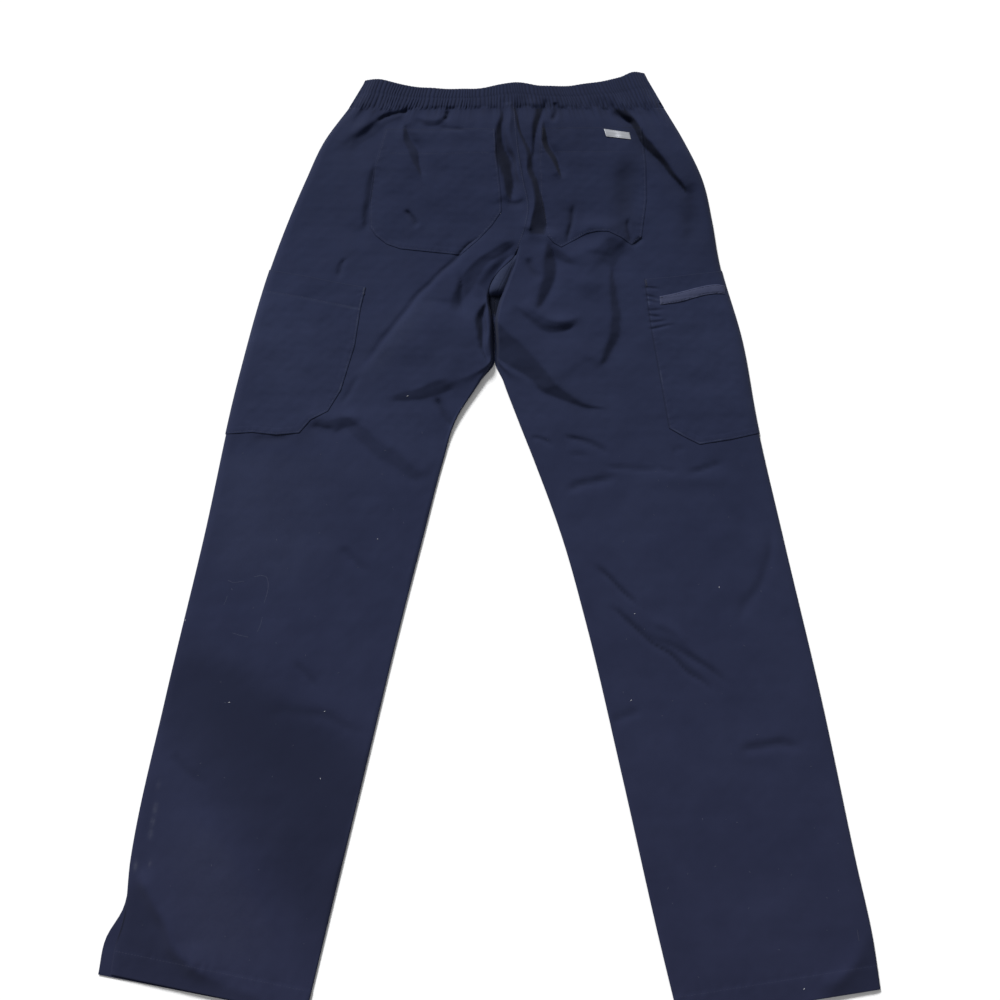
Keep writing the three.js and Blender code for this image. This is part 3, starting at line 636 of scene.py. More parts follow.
# Broad waves of the cloth. Columns: wavelength, height on the seat, height on the lower legs, seed
WAVES = [
    (150, 0.70, 0.50, 11),
    (62, 0.32, 0.26, 12),
    (27, 0.16, 0.12, 13),
    (12, 0.08, 0.06, 14),
]
WARP = 1.1
WARP_LENGTH = 42


def ribbed(share, count):
    """Round ribs with narrow valleys between them, from 0 to 1, at a share of the waist's length"""
    drift = 0.34 * sway(5.3 * share + 0.2) + 0.3 * sway(11.7 * share + 0.63)
    strength = 0.90 + 0.06 * sway(8.1 * share + 0.4) + 0.08 * sway(17.3 * share)
    return strength * np.abs(np.cos(math.pi * (count * share + drift))) ** 0.6


def gather(share):
    return ribbed(share, GATHERS)


def band_ribs(share, up):
    """The ribs of the band shift a little above its middle, where a row of stitches holds them"""
    channel = smooth((up - 0.57) / 0.1)
    return ribbed(share + 0.0026 * channel + 0.0012 * np.sin(5 * up + 40 * share), BAND_RIBS)


def pleat(share):
    """Soft pleats of the panels below the waist seam"""
    return 0.6 * sway(14.3 * share + 0.1) + 0.5 * sway(22.7 * share + 0.45)


# Cargo pockets wrap round the outseam and end under the front, which lies on them there
POCKET_UNDER = 75
UNDER_MARGIN = 8
BACK_MARGIN = 45
CARGO_LEFT_ROWS = (258, 58)
CARGO_RIGHT_ROWS = (257, 59)


def under_front(leg, x, y, margin=UNDER_MARGIN):
    """1 where the front lies on a cargo pocket's inner half, and 0 elsewhere"""
    top, bottom = CARGO_LEFT_ROWS if leg is left_leg else CARGO_RIGHT_ROWS
    off_edge = (x - leg.front_outer(y)) * leg.inward
    share = smooth((top + margin - y) / margin) * smooth((y - bottom + margin) / margin)
    return share * smooth((POCKET_UNDER + margin - off_edge) / margin)


def gap_middle(y):
    """The middle of the gap between the thighs, through which the front shows"""
    return np.interp(y, [218, 237, 256, 274, 290], [4, 8, 16, 27, 32])


def crotch_pad(x, y):
    """How far the front stands up where it shows between the thighs, and the edges of the back with it"""
    return CROTCH_PAD * bell(x - gap_middle(y), 12, 2.5) * bell(y - GAP_Y, 27, 8)


def front_top(leg, x, y):
    """Height of the inner side of the front, which shows through the vent and the crotch"""
    lift = 0.12 * (1 + ripples(x, y, 40, 21)) / 2
    hem = HEM_RISE * smooth((HEM_DEPTH - (y - leg.hem_y(x, y))) / 1.5)
    under = (POCKET_WALL + LAYER_GAP) * under_front(leg, x, y)
    return FRONT_TOP + lift + hem + under + crotch_pad(x, y)


def folded_at(leg, x, y):
    """The height of the folds, and how much painted shade the cloth gets in them"""
    crumpled_x = x + WARP * ripples(x, y, WARP_LENGTH, 3)
    crumpled_y = y + WARP * ripples(x, y, WARP_LENGTH, 4)
    lift = np.zeros(np.shape(x))
    shade = np.zeros(np.shape(x))
    for gain, group in ((FOLD_GAIN, folds), (FACE_GAIN, faces)):
        for fold in group:
            if leg.side in fold.sides:
                fold_lift, fold_shade = fold.at_points(crumpled_x, crumpled_y)
                lift += gain * fold_lift
                shade = np.maximum(shade, fold_shade)
    return lift, shade


def rib_tone(rib, strength):
    """Ribs get a little painted highlight on top and painted shade in the valleys between them"""
    return strength * (0.16 * rib ** 3 - 0.45 * (1 - rib) ** 2)


def broad_tone(x, y):
    return sum(patch.at_points(x, y)[0] for patch in tones)


def back_tone(leg, x, y):
    """The tone: worn places and painted highlights lift it above zero, and painted shade in folds and
    between the waist ribs takes it below zero, as do the broad darker places
    """
    _, shade = folded_at(leg, x, y)
    below_waist = np.maximum(waist_y(x) - y, 0)
    ribs = rib_tone(gather(leg.waist_share(x, y)), bell(below_waist, GATHER_FADE, 1.3))
    return worn(x, y) - shade + ribs + broad_tone(x, y) * (1 - shade)


def back_top(leg, x, y):
    """Height of the outer side of the back at a point that the picture shows at (x, y) on the floor"""
    off_outer = np.maximum((x - leg.outer(y)) * leg.inward, 0)
    off_inner = np.maximum((leg.inner(y) - x) * leg.inward, 0)
    below_waist = np.maximum(waist_y(x) - y, 0)
    above_hem = y - leg.hem_y(x, y)
    seat = 1 - smooth((SEAT_LOW_Y - y) / LEG_FALL)
    open_inside = smooth((GAP_TOP_Y - y) / GAP_OPENING)

    folded, _ = folded_at(leg, x, y)
    waves = sum(lerp(low, high, seat) * ripples(x, y, length, seed) for length, high, low, seed in WAVES)

    # The left thigh keeps its height up to the inseam and turns down sharply there, and beside the gap it
    # rolls over more softly than the right one does
    in_crotch = smooth((y - CROTCH_LOW_Y) / CROTCH_LENGTH)
    is_left = 1 if leg is left_leg else 0
    beside_gap = is_left * smooth((y - GAP_FOOT_Y) / GAP_RISE)
    high_edge = is_left * smooth((y - HIGH_EDGE_Y) / HIGH_EDGE_RISE)
    inner_spread = smooth(off_inner / lerp(BODY_ROLL, CROTCH_SPREAD + GAP_SPREAD * beside_gap, in_crotch))
    spread = smooth(off_outer / BODY_ROLL) * lerp(1, inner_spread, open_inside)
    low_edge = open_inside * (1 - high_edge)
    edge_lift = lerp(EDGE_LIFT, SEAT_EDGE_LIFT, seat * lerp(1, smooth(off_inner / 50), low_edge))
    body = edge_lift + (lerp(LEG_LIFT, SEAT_LIFT, seat) - edge_lift) * spread
    inner_reach = lerp(4, 13, beside_gap)
    edge_share = smooth(off_outer / 16) * lerp(1, smooth(off_inner / inner_reach), open_inside)
    lift = body + (folded + waves) * edge_share
    lift = 0.6 * np.logaddexp(0, lift / 0.6)

    near_waist = bell(below_waist, WAIST_REACH)
    waist_side = smooth(off_outer / 14)
    at_waist = WAIST_LIFT * lerp(0.35, 1, waist_side) + WAIST_FOLDS * folded * edge_share
    lift = lerp(lift, at_waist, near_waist)
    share = leg.waist_share(x, y)
    gathers = GATHER_HEIGHT * gather(share) * bell(below_waist, GATHER_FADE, 1.3)
    gathers += PLEAT_HEIGHT * pleat(share) * bell(below_waist, PLEAT_FADE, 1.6) * smooth(below_waist / 5)
    lift = np.maximum(lift, 0) + gathers * waist_side

    inner_roll = lerp(INNER_ROLL, CROTCH_ROLL, high_edge if leg is left_leg else in_crotch)
    roll = rounded(off_outer / OUTER_ROLL) * lerp(1, rounded(off_inner / inner_roll), open_inside)
    above_stitches = above_hem - HEM_STITCHES
    hem = HEM_RISE * smooth((HEM_DEPTH - above_hem) / 1.2) - 0.14 * bell(above_stitches, 1.3)
    hem += 0.16 * np.sin(x / 1.9 + 2 * ripples(x, y, 30, 31)) * bell(above_stitches, 5)
    under = (POCKET_WALL + LAYER_GAP) * under_front(leg, x, y, BACK_MARGIN)
    pad = crotch_pad(x, y)
    return BACK_BASE + under + lerp(pad, np.maximum(lift, pad + 0.05), roll) + hem


# Outlines of the pockets. Each side is a list of (x, y): top and bottom run towards +X, and the
# sides run down from the top.
POCKETS = {
    "back_pocket_left": {
        "top": [(-127.5, 446), (-110, 446), (-61, 445), (-20, 447), (5, 446)],
        "bottom": [(-142, 314), (-134, 302), (-121, 291), (-105, 285), (-70, 281), (-35, 277)],
        "low_side": [(-127.5, 446), (-139, 395), (-143, 350), (-142, 314)],
        "high_side": [(5, 446), (8, 400), (12, 360), (13, 334), (2, 316), (-14, 297), (-35, 277)],
    },
    "back_pocket_right": {
        "top": [(60, 447), (100, 448), (140, 448), (182, 449)],
        "bottom": [(66, 302), (73, 293), (82, 287), (92, 293), (112, 305), (124, 308), (137, 308),
                   (152, 300), (164, 290)],
        "low_side": [(60, 447), (57, 400), (58, 349), (66, 302)],
        "high_side": [(182, 449), (185, 400), (184, 350), (176, 299), (164, 290)],
    },
    "cargo_pocket_left": {
        "top": [(-255.2, 258), (-210, 250), (-180, 243), (-143, 236)],
        "bottom": [(-291.5, 58), (-262, 60), (-235, 57), (-210, 59.5)],
        "low_side": [(-255.2, 258), (-263, 215), (-271, 170), (-280, 125), (-291.5, 58)],
        "high_side": [(-143, 236), (-147.8, 210), (-152.7, 164), (-166, 110), (-179.5, 85), (-198, 75),
                      (-210, 59.5)],
    },
    "cargo_pocket_right": {
        "top": [(177, 246.5), (205, 249), (235, 253), (266, 256.6)],
        "bottom": [(197, 65), (213, 55), (230, 46), (266, 52), (296, 59)],
        "low_side": [(177, 246.5), (179, 215), (182, 184), (191, 112), (197, 65)],
        "high_side": [(266, 256.6), (276, 210), (284, 170), (291, 110), (296, 59)],
    },
}
BACK_POCKET_HEM = 35
CARGO_POCKET_HEM = 28
EDGE_STITCHES = 2.4
TOP_STITCHES = 1.5


class Pocket:
    """A patch of cloth between its four sides, lying on the back of a leg"""

    def __init__(self, name, leg):
        sides = POCKETS[name]
        self.name = name
        self.leg = leg
        self.wraps = name.startswith("cargo")
        self.ways = {key: Way(points, bend=1) for key, points in sides.items()}
        down = [Way(sides[key], bend=1) for key in ("low_side", "high_side")]
        outseam, inner = down if leg.inward > 0 else down[::-1]
        self.outseam = outseam
        if self.wraps:
            free = inner.line.tolist()
            bottom = sides["bottom"][::-1] if leg.inward > 0 else sides["bottom"]
            self.stitched = Way(free + bottom[1:], bend=1)
        else:
            loop = sides["low_side"] + sides["bottom"][1:] + sides["high_side"][::-1][1:]
            self.stitched = Way(loop, bend=1)
        self.top_edge = self.ways["top"]
        self.hem = CARGO_POCKET_HEM if self.wraps else BACK_POCKET_HEM

    def place(self, share, down):
        """The point a share along +X and a share down from the top edge"""
        top, bottom = self.ways["top"], self.ways["bottom"]
        low, high = self.ways["low_side"], self.ways["high_side"]
        points = []
        for axis in (0, 1):
            across_top = np.interp(share * top.length, top.reached, top.line[:, axis])
            across_bottom = np.interp(share * bottom.length, bottom.reached, bottom.line[:, axis])
            along_low = np.interp(down * low.length, low.reached, low.line[:, axis])
            along_high = np.interp(down * high.length, high.reached, high.line[:, axis])
            top_corners = lerp(top.line[0, axis], top.line[-1, axis], share)
            bottom_corners = lerp(bottom.line[0, axis], bottom.line[-1, axis], share)
            corners = lerp(top_corners, bottom_corners, down)
            across = lerp(across_top, across_bottom, down)
            points.append(across + lerp(along_low, along_high, share) - corners)
        return points

    def edge_distances(self, x, y):
        """How far a point is from the stitched edge and from the top edge, and how far along it is"""
        stitched, along = self.stitched.measure(x, y)
        top, _ = self.top_edge.measure(x, y)
        return np.abs(stitched), np.abs(top), along

    def top(self, x, y):
        """Height of the pocket's outer side"""
        edge, opening, along = self.edge_distances(x, y)
        seams = 0.45 if self.wraps else 0.3
        side_ramp = 0.8 if self.wraps else lerp(0.8, 2.6, smooth((y - 305) / 40))
        top_ramp = 0.9 if self.wraps else 8
        lift = 0.12 + 0.42 * np.minimum(rounded(edge / side_ramp), rounded(opening / top_ramp))
        lift -= 0 if self.wraps else 0.12 * bell(opening, 3)
        lift += seams * (0.2 * smooth((9 - edge) / 2) + 0.15 * smooth((self.hem - opening) / 2))
        lift -= seams * (0.25 * bell(edge - EDGE_STITCHES, 1.0) + 0.12 * bell(edge - 8.2, 1.1))
        lift -= seams * 0.35 * bell(opening - self.hem + TOP_STITCHES, 1.1)
        pucker = np.sin(along / 1.55 + 1.6 * ripples(x, y, 22, 41))
        lift += 0.09 * pucker * bell(edge - 4, 4)
        lift += 0.22 * ripples(x, y, 34, 42) * smooth((edge - 6) / 22)
        least = 0.1 if self.wraps else 0.1 * smooth(opening / 5)
        return back_top(self.leg, x, y) + np.maximum(lift, least)


def lifted(x, y, z):
    """A point that the picture shows at (x, y) on the floor, moved up its line of sight to height z"""
    share = z / CAMERA_Z
    return x - share * (x - CAMERA_X), y - share * (y - CAMERA_Y), z


def add_piece(name, mesh, material):
    """An object with smooth faces that rides on the one body"""
    mesh.polygons.foreach_set("use_smooth", np.ones(len(mesh.polygons), dtype=bool))
    mesh.update()
    mesh.materials.append(material)
    piece = bpy.data.objects.new(name, mesh)
    bpy.context.scene.collection.objects.link(piece)
    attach(piece, BODY)
    return piece


def add_sheet(node, name, columns, rows, place, wall, material):
    """A grid of cloth that takes a node's place. place takes shares across and down and gives x, y and z
    in millimetres and the tone."""
    mesh = bpy.data.meshes.new(name)
    work = bmesh.new()
    bmesh.ops.create_grid(work, x_segments=columns, y_segments=rows, size=1)
    work.to_mesh(mesh)
    work.free()
    flat = np.empty(len(mesh.vertices) * 3, dtype=np.float32)
    mesh.vertices.foreach_get("co", flat)
    grid = flat.reshape(-1, 3).astype(float)
    x, y, z, tone = place((grid[:, 0] + 1) / 2, (1 - grid[:, 1]) / 2)
    points = np.stack(lifted(x, y, z), axis=1) * MM
    mesh.vertices.foreach_set("co", points.astype(np.float32).ravel())
    marks = mesh.attributes.new("tone", "FLOAT", "POINT")
    marks.data.foreach_set("value", (tone + np.zeros(len(points))).astype(np.float32))
    piece = add_piece(name, mesh, material)
    solid = piece.modifiers.new("wall", "SOLIDIFY")
    solid.thickness = wall * MM
    solid.offset = -1
    solid.use_rim = True
    normals = piece.modifiers.new("normals", "WEIGHTED_NORMAL")
    normals.weight = NORMAL_WEIGHT
    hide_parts(node)


# Materials

class Value:
    """A socket whose numbers follow Python's operators, each of which adds a Math node"""

    def __init__(self, finish, socket):
        self.finish = finish
        self.socket = socket

    def math(self, operation, first, second):
        return self.finish.node("ShaderNodeMath", {"operation": operation}, {0: first, 1: second})

    def __add__(self, other):
        return self.math("ADD", self, other)

    __radd__ = __add__

    def __mul__(self, other):
        return self.math("MULTIPLY", self, other)

    def __sub__(self, other):
        return self.math("SUBTRACT", self, other)

    def limited(self):
        return self.finish.node("ShaderNodeClamp", {}, {"Value": self})


class Finish:
    """A material whose nodes come from one method"""

    def __init__(self, name):
        self.material = bpy.data.materials.new(name)
        self.material.use_nodes = True
        self.tree = self.material.node_tree
        self.tree.nodes.clear()

    def node(self, kind, settings, inputs, output=0):
        node = self.tree.nodes.new(kind)
        for key, setting in settings.items():
            setattr(node, key, setting)
        for key, value in inputs.items():
            if isinstance(value, Value):
                self.tree.links.new(value.socket, node.inputs[key])
            else:
                node.inputs[key].default_value = value
        return Value(self, node.outputs[output]) if len(node.outputs) else None

    def mix(self, factor, first, second, blend="MIX"):
        settings = {"data_type": "RGBA", "blend_type": blend}
        return self.node("ShaderNodeMix", settings, {0: factor, 6: first, 7: second}, 2)

    def place(self):
        return self.node("ShaderNodeTexCoord", {}, {}, "Object")

    def turned(self, place, degrees, stretch=(1, 1, 1)):
        inputs = {"Vector": place, "Rotation": (0, 0, math.radians(degrees)), "Scale": stretch}
        return self.node("ShaderNodeMapping", {"vector_type": "POINT"}, inputs)

    def noise(self, place, scale, detail=3, roughness=0.5):
        inputs = {"Vector": place, "Scale": scale, "Detail": detail, "Roughness": roughness}
        return self.node("ShaderNodeTexNoise", {}, inputs, "Fac")

    def weave(self, place, wavelength_mm, degrees, distortion=0.4):
        turned = self.turned(place, degrees)
        scale = 2 * math.pi / (20 * wavelength_mm * MM)
        inputs = {"Vector": turned, "Scale": scale, "Distortion": distortion}
        inputs.update({"Detail": 1, "Detail Scale": 2})
        return self.node("ShaderNodeTexWave", {"wave_type": "BANDS"}, inputs, "Fac")

    def attribute(self, name):
        return self.node("ShaderNodeAttribute", {"attribute_name": name}, {}, "Fac")

    def shader(self, inputs):
        shader = self.node("ShaderNodeBsdfPrincipled", {}, inputs)
        self.node("ShaderNodeOutputMaterial", {}, {"Surface": shader})
        return self.material


NAVY = (0.0144, 0.0187, 0.0466, 1)
NAVY_WORN = (0.0208, 0.0261, 0.0594, 1)
NAVY_DEEP = (0.0121, 0.0156, 0.0403, 1)
# Painted shade, and the colour of worn cloth and painted highlights, which the tone attribute mixes in
NAVY_SHADED = (0.0030, 0.0045, 0.0120, 1)
NAVY_WEAR_AND_HIGHLIGHT = (0.0600, 0.0680, 0.1000, 1)
TINT_HEM = (0.980, 0.915, 0.905, 1)
TINT_THIGH = (0.915, 0.972, 0.990, 1)
TINT_SEAT = (0.735, 0.830, 0.935, 1)
THREAD = (0.0165, 0.0205, 0.0450, 1)
TAPE = (0.0275, 0.0345, 0.0800, 1)
TAPE_DARK = (0.0200, 0.0250, 0.0580, 1)
SILVER = (0.4200, 0.4350, 0.4700, 1)
SILVER_DARK = (0.2900, 0.3050, 0.3400, 1)
LINT = (0.5500, 0.5600, 0.6000, 1)
LINT_DARK = (0.3500, 0.3600, 0.4000, 1)
LINT_FAINT = (0.0900, 0.1000, 0.1400, 1)
FLOOR = (0.86, 0.86, 0.865, 1)
FLOOR_CLOUD = (0.83, 0.83, 0.84, 1)


def cloth_finish():
    finish = Finish("navy twill")
    place = finish.place()
    broad = finish.noise(place, 9, 4, 0.55)
    mottle = finish.noise(place, 70, 3, 0.6)
    fuzz = finish.noise(place, 1400, 2, 0.6)
    twill = finish.weave(place, 0.95, 58, 0.5)
    threads = finish.weave(place, 0.5, -32, 0.6)
    tone = (broad * 1.2 - 0.25 + (mottle - 0.5) * 0.5 + (fuzz - 0.5) * 0.5).limited()
    colour = finish.mix(tone, NAVY_DEEP, NAVY_WORN)
    colour = finish.mix((twill * 0.28).limited(), colour, NAVY)
    # The tone attribute: above zero it lightens the cloth for worn places and painted highlights, below
    # zero it darkens it with painted shade
    mark = finish.attribute("tone")
    wear_and_highlight = (mark * (finish.noise(place, 260, 2, 0.6) * 1.5)).limited()
    colour = finish.mix(wear_and_highlight, colour, NAVY_WEAR_AND_HIGHLIGHT)
    colour = finish.mix((mark * -1).limited(), colour, NAVY_SHADED)
    # The hue shifts from the hems over the thighs to the seat
    up_leg = finish.node("ShaderNodeSeparateXYZ", {}, {"Vector": place}, 1)
    tint = finish.mix(((up_leg + 0.5) * 1.54).limited(), TINT_HEM, TINT_THIGH)
    tint = finish.mix(((up_leg - 0.15) * 5).limited(), tint, TINT_SEAT)
    colour = finish.mix(1, colour, tint, "MULTIPLY")
    height = twill * 0.6 + threads * 0.35 + fuzz * 0.5 + mottle * 1.6
    bump = finish.node("ShaderNodeBump", {}, {"Strength": 0.35, "Distance": 0.0003, "Height": height})
    roughness = 0.86 + mottle * 0.1
    return finish.shader({
        "Base Color": colour, "Roughness": roughness, "Normal": bump, "Sheen Weight": 0.02,
        "Sheen Roughness": 0.5, "Specular IOR Level": 0.12,
    })


def thread_finish():
    finish = Finish("navy sewing thread")
    place = finish.place()
    twist = finish.weave(place, 0.4, 35, 0.3)
    colour = finish.mix(twist, NAVY, THREAD)
    bump = finish.node("ShaderNodeBump", {}, {"Strength": 0.3, "Distance": 0.0001, "Height": twist})
    return finish.shader({
        "Base Color": colour, "Roughness": 0.6, "Normal": bump, "Specular IOR Level": 0.3,
    })


def tape_finish():
    finish = Finish("blue grosgrain tape")
    place = finish.place()
    ribs = finish.weave(place, 1.1, 78, 0.1)
    soil = finish.noise(place, 160, 3, 0.6)
    colour = finish.mix((ribs * 0.7 + soil * 0.5).limited(), TAPE_DARK, TAPE)
    bump = finish.node("ShaderNodeBump", {}, {"Strength": 0.5, "Distance": 0.0003, "Height": ribs})
    return finish.shader({
        "Base Color": colour, "Roughness": 0.7, "Normal": bump, "Specular IOR Level": 0.25,
    })


def tag_finish():
    finish = Finish("silver satin tag")
    place = finish.place()
    satin = finish.weave(place, 0.7, 84, 0.2)
    soil = finish.noise(place, 220, 3, 0.6)
    colour = finish.mix((satin * 0.35 + soil * 0.6).limited(), SILVER_DARK, SILVER)
    height = satin + soil
    bump = finish.node("ShaderNodeBump", {}, {"Strength": 0.3, "Distance": 0.0002, "Height": height})
    return finish.shader({
        "Base Color": colour, "Roughness": 0.38, "Metallic": 0.35, "Normal": bump,
        "Anisotropic": 0.4,
    })


def lint_finish(name, light, dark):
    finish = Finish(name)
    place = finish.place()
    colour = finish.mix(finish.noise(place, 1800, 2), light, dark)
    return finish.shader({"Base Color": colour, "Roughness": 0.95})


def floor_finish():
    finish = Finish("pale floor")
    place = finish.place()
    cloud = finish.noise(place, 1.5, 2)
    colour = finish.mix(cloud * 0.1, FLOOR, FLOOR_CLOUD)
    return finish.shader({"Base Color": colour, "Roughness": 0.95, "Specular IOR Level": 0.1})


cloth = cloth_finish()
thread = thread_finish()
tape_cloth = tape_finish()
tag_satin = tag_finish()
lint_fluff = lint_finish("white lint", LINT, LINT_DARK)
faint_fluff = lint_finish("faint lint", LINT_FAINT, NAVY_WORN)
floor_paint = floor_finish()

# Camera, light and floor
camera_data = bpy.data.cameras.new("camera")
camera_data.lens = CAMERA_LENS
camera_data.sensor_width = CAMERA_SENSOR
camera = bpy.data.objects.new("camera", camera_data)
camera.location = Vector((CAMERA_X, CAMERA_Y, CAMERA_Z)) * MM
camera.rotation_euler = (CAMERA_TILT, 0, 0)
bpy.context.scene.collection.objects.link(camera)
bpy.context.scene.camera = camera
bpy.context.scene.view_settings.view_transform = "Standard"

key_data = bpy.data.lights.new("key", "SUN")
key_data.energy = KEY_STRENGTH
key_data.angle = math.radians(KEY_SOFTNESS)
key = bpy.data.objects.new("key", key_data)
elevation = math.radians(KEY_ELEVATION)
azimuth = math.radians(KEY_AZIMUTH)
level = math.cos(elevation)
towards_key = Vector((math.cos(azimuth) * level, math.sin(azimuth) * level, math.sin(elevation)))
key.rotation_euler = towards_key.to_track_quat("Z", "Y").to_euler()
bpy.context.scene.collection.objects.link(key)

world = bpy.data.worlds.new("soft light")
bpy.context.scene.world = world
world.use_nodes = True
ambient = world.node_tree.nodes["Background"]
ambient.inputs["Color"].default_value = (1, 1, 1, 1)
ambient.inputs["Strength"].default_value = AMBIENT_STRENGTH

floor_mesh = bpy.data.meshes.new("floor")
floor_work = bmesh.new()
bmesh.ops.create_grid(floor_work, x_segments=2, y_segments=2, size=8)
bmesh.ops.translate(floor_work, verts=floor_work.verts, vec=(0, 0, -0.0002))
floor_work.to_mesh(floor_mesh)
floor_work.free()
floor_mesh.materials.append(floor_paint)
floor = bpy.data.objects.new("floor", floor_mesh)
bpy.context.scene.collection.objects.link(floor)

# Worn and scuffed places of the back, as (x, y, radius, strength)
SCUFFS = [
    (-332, -334, 2.2, 0.5), (-333.4, -347, 1.8, 0.55), (-334.5, -358, 2, 0.45), (-346.5, -388, 2, 0.5),
    (-332.3, -386, 1.4, 0.35), (-331, -312, 1.6, 0.3),
]


def worn(x, y):
    return sum(strength * bell(np.hypot(x - at_x, (y - at_y) / 2), radius)
               for at_x, at_y, radius, strength in SCUFFS)


# Panels: rows lie closer on the seat and in the hem, and columns closer at the edges. The left vent's
# edge gets painted shade where the vent opens.
VENT_MOUTH_Y = -442
ROW_STOPS = ([0, 0.56, 0.96, 1], [0, 0.43, 0.972, 1])
COLUMN_STOPS = ([0, 0.09, 0.91, 1], [0, 0.035, 0.965, 1])


def panel_shares(leg, share, down):
    across = share if leg.inward > 0 else 1 - share
    return np.interp(across, *COLUMN_STOPS), np.interp(down, *ROW_STOPS)


def back_place(leg):
    def place(share, down):
        across, lower = panel_shares(leg, share, down)
        x, y = leg.place(across, lower)
        tone = back_tone(leg, x, y) + 0.1 * bell(y - leg.hem_y(x, y), 1.5)
        # Painted shade on the left leg's outer edge where the vent opens
        if leg is left_leg:
            tone -= 0.95 * bell(x - leg.outer(y), 1.1) * bell(y - VENT_MOUTH_Y, 15, 4)
        return x, y, back_top(leg, x, y), tone
    return place


def front_place(leg):
    def place(share, down):
        across, lower = panel_shares(leg, share, down)
        x, y = leg.place(across, lower, front=True)
        # Where the front shows between the thighs it gets painted light, and painted shade over the hole
        # below it
        in_gap = bell(x - gap_middle(y), 16, 4)
        bright = 0.22 * smooth((y - 228) / 4) * (1 - smooth((y - 282) / 8))
        dark = smooth((229 - y) / 3) * smooth((y - 195) / 10)
        return x, y, front_top(leg, x, y), in_gap * (bright - dark)
    return place


for leg in (left_leg, right_leg):
    back = f"back_{leg.side}"
    front = f"front_{leg.side}"
    add_sheet(back, f"{back}_panel", BACK_COLUMNS, BACK_ROWS, back_place(leg), WALL, cloth)
    add_sheet(front, f"{front}_panel", FRONT_COLUMNS, FRONT_ROWS, front_place(leg), WALL, cloth)

# Waistband: each half is a casing that runs up from the waist seam, over its top edge and down again
OUTER_PART = 0.6
TURN_PART = 0.12
INNER_DEPTH = 0.85
BAND_OVERLAP = 8.0
BAND_TUCK = 0.19
BAND_SINK = 0.35
BAND_END_HEIGHT = 2.9


def band_profile(down):
    """The share of the band's height, and how far round the top edge as an angle"""
    run = 1 - down
    up = np.interp(run, [0, OUTER_PART, OUTER_PART + TURN_PART, 1], [0, 1, 1, 1 - INNER_DEPTH])
    turn = np.clip((run - OUTER_PART) / TURN_PART, 0, 1) * math.pi
    return up, turn


def band_ends(share):
    return smooth(np.minimum(share, 1 - share) / 0.045)


def back_band_height(share, up, x, y):
    """The band's ribs rise out of the panels below the waist seam and go on from there to its top edge"""
    panels = np.where(x < SEAM_MIDDLE_X, back_top(left_leg, x, y), back_top(right_leg, x, y))
    even = BACK_BASE + WAIST_LIFT * lerp(0.35, 1, band_ends(share)) + 0.4
    rise = smooth(up / BAND_TUCK)
    base = lerp(panels - BAND_SINK * (1 - rise), even, smooth((up - BAND_TUCK) / 0.45))
    above = smooth((up - 0.6 * BAND_TUCK) / 0.2)
    bulge = BAND_BULGE * np.sin(math.pi * np.clip(up, 0, 1)) * lerp(0.4, 1, band_ends(share)) * above
    ribs = BAND_RIB_HEIGHT * (band_ribs(share, up) - 0.4) * lerp(0.3, 1, band_ends(share)) * rise
    waves = 0.35 * sway(3.2 * share + 0.3) + 0.25 * sway(7.4 * share + up * 0.3)
    channel = 0.25 * bell(up - 0.62, 0.035)
    ends = rounded(np.minimum(share, 1 - share) / 0.03)
    middle = base + bulge + ribs + waves * band_ends(share) * above - channel
    return lerp(BAND_END_HEIGHT, middle, lerp(0.35, 1, ends))


def back_band_place(share, down):
    up, turn = band_profile(down)
    seam_x = lerp(SEAM_LEFT_X, SEAM_RIGHT_X, share)
    seam_y = waist_y(seam_x) - BAND_OVERLAP
    top_x = lerp(BAND_TOP[0][0], BAND_TOP[-1][0], share)
    radius = BAND_THICKNESS / 2
    wobble = 0.45 * band_ribs(share, 1) + 0.3 * sway(9.3 * share)
    top_y = band_top_y(top_x) - radius + wobble
    x = lerp(seam_x, top_x, up)
    y = lerp(seam_y, top_y, up) + radius * np.sin(turn)
    z = back_band_height(share, up, x, y) - radius * (1 - np.cos(turn))
    # Painted highlight on the ribs and painted shade between them, with the broad darker and lighter
    # places
    tone = rib_tone(band_ribs(share, up), smooth((up - 0.04) / 0.15)) + broad_tone(x, y)
    return x, y, z, tone


def front_band_place(share, down):
    """The front casing lies under the back one with its outer side down, so it turns the other way"""
    up, turn = band_profile(1 - down)
    seam_x = lerp(SEAM_LEFT_X, SEAM_RIGHT_X, share)
    seam_y = waist_y(seam_x) + LAYER_GAP
    top_x = lerp(BAND_TOP[0][0], BAND_TOP[-1][0], share)
    top_y = band_top_y(top_x) - 1.6
    x = lerp(seam_x, top_x, up)
    y = lerp(seam_y, top_y, up) + 1.0 * np.sin(turn)
    gathered = gather(share + 0.013)
    inner = 2.45 + 0.25 * gathered - 0.3 * bell(up, 0.05)
    outer = 0.12 + 0.5 * (1 - gathered)
    return x, y, lerp(outer, inner, (1 - np.cos(turn)) / 2), np.zeros_like(x)


for half, columns, place in (
    ("back", BAND_COLUMNS, back_band_place),
    ("front", FRONT_BAND_COLUMNS, front_band_place),
):
    add_sheet(f"waistband_{half}", f"waistband_{half}_casing", columns, BAND_ROWS, place, WALL, cloth)

# Pockets. A cargo pocket's first share of columns turns round the outseam and goes on under the front.
WRAP_SHARE = 0.3
WRAP_TURN_SHARE = 0.16
TURN_RADIUS = 0.9
UNDER_HEIGHT = 0.05


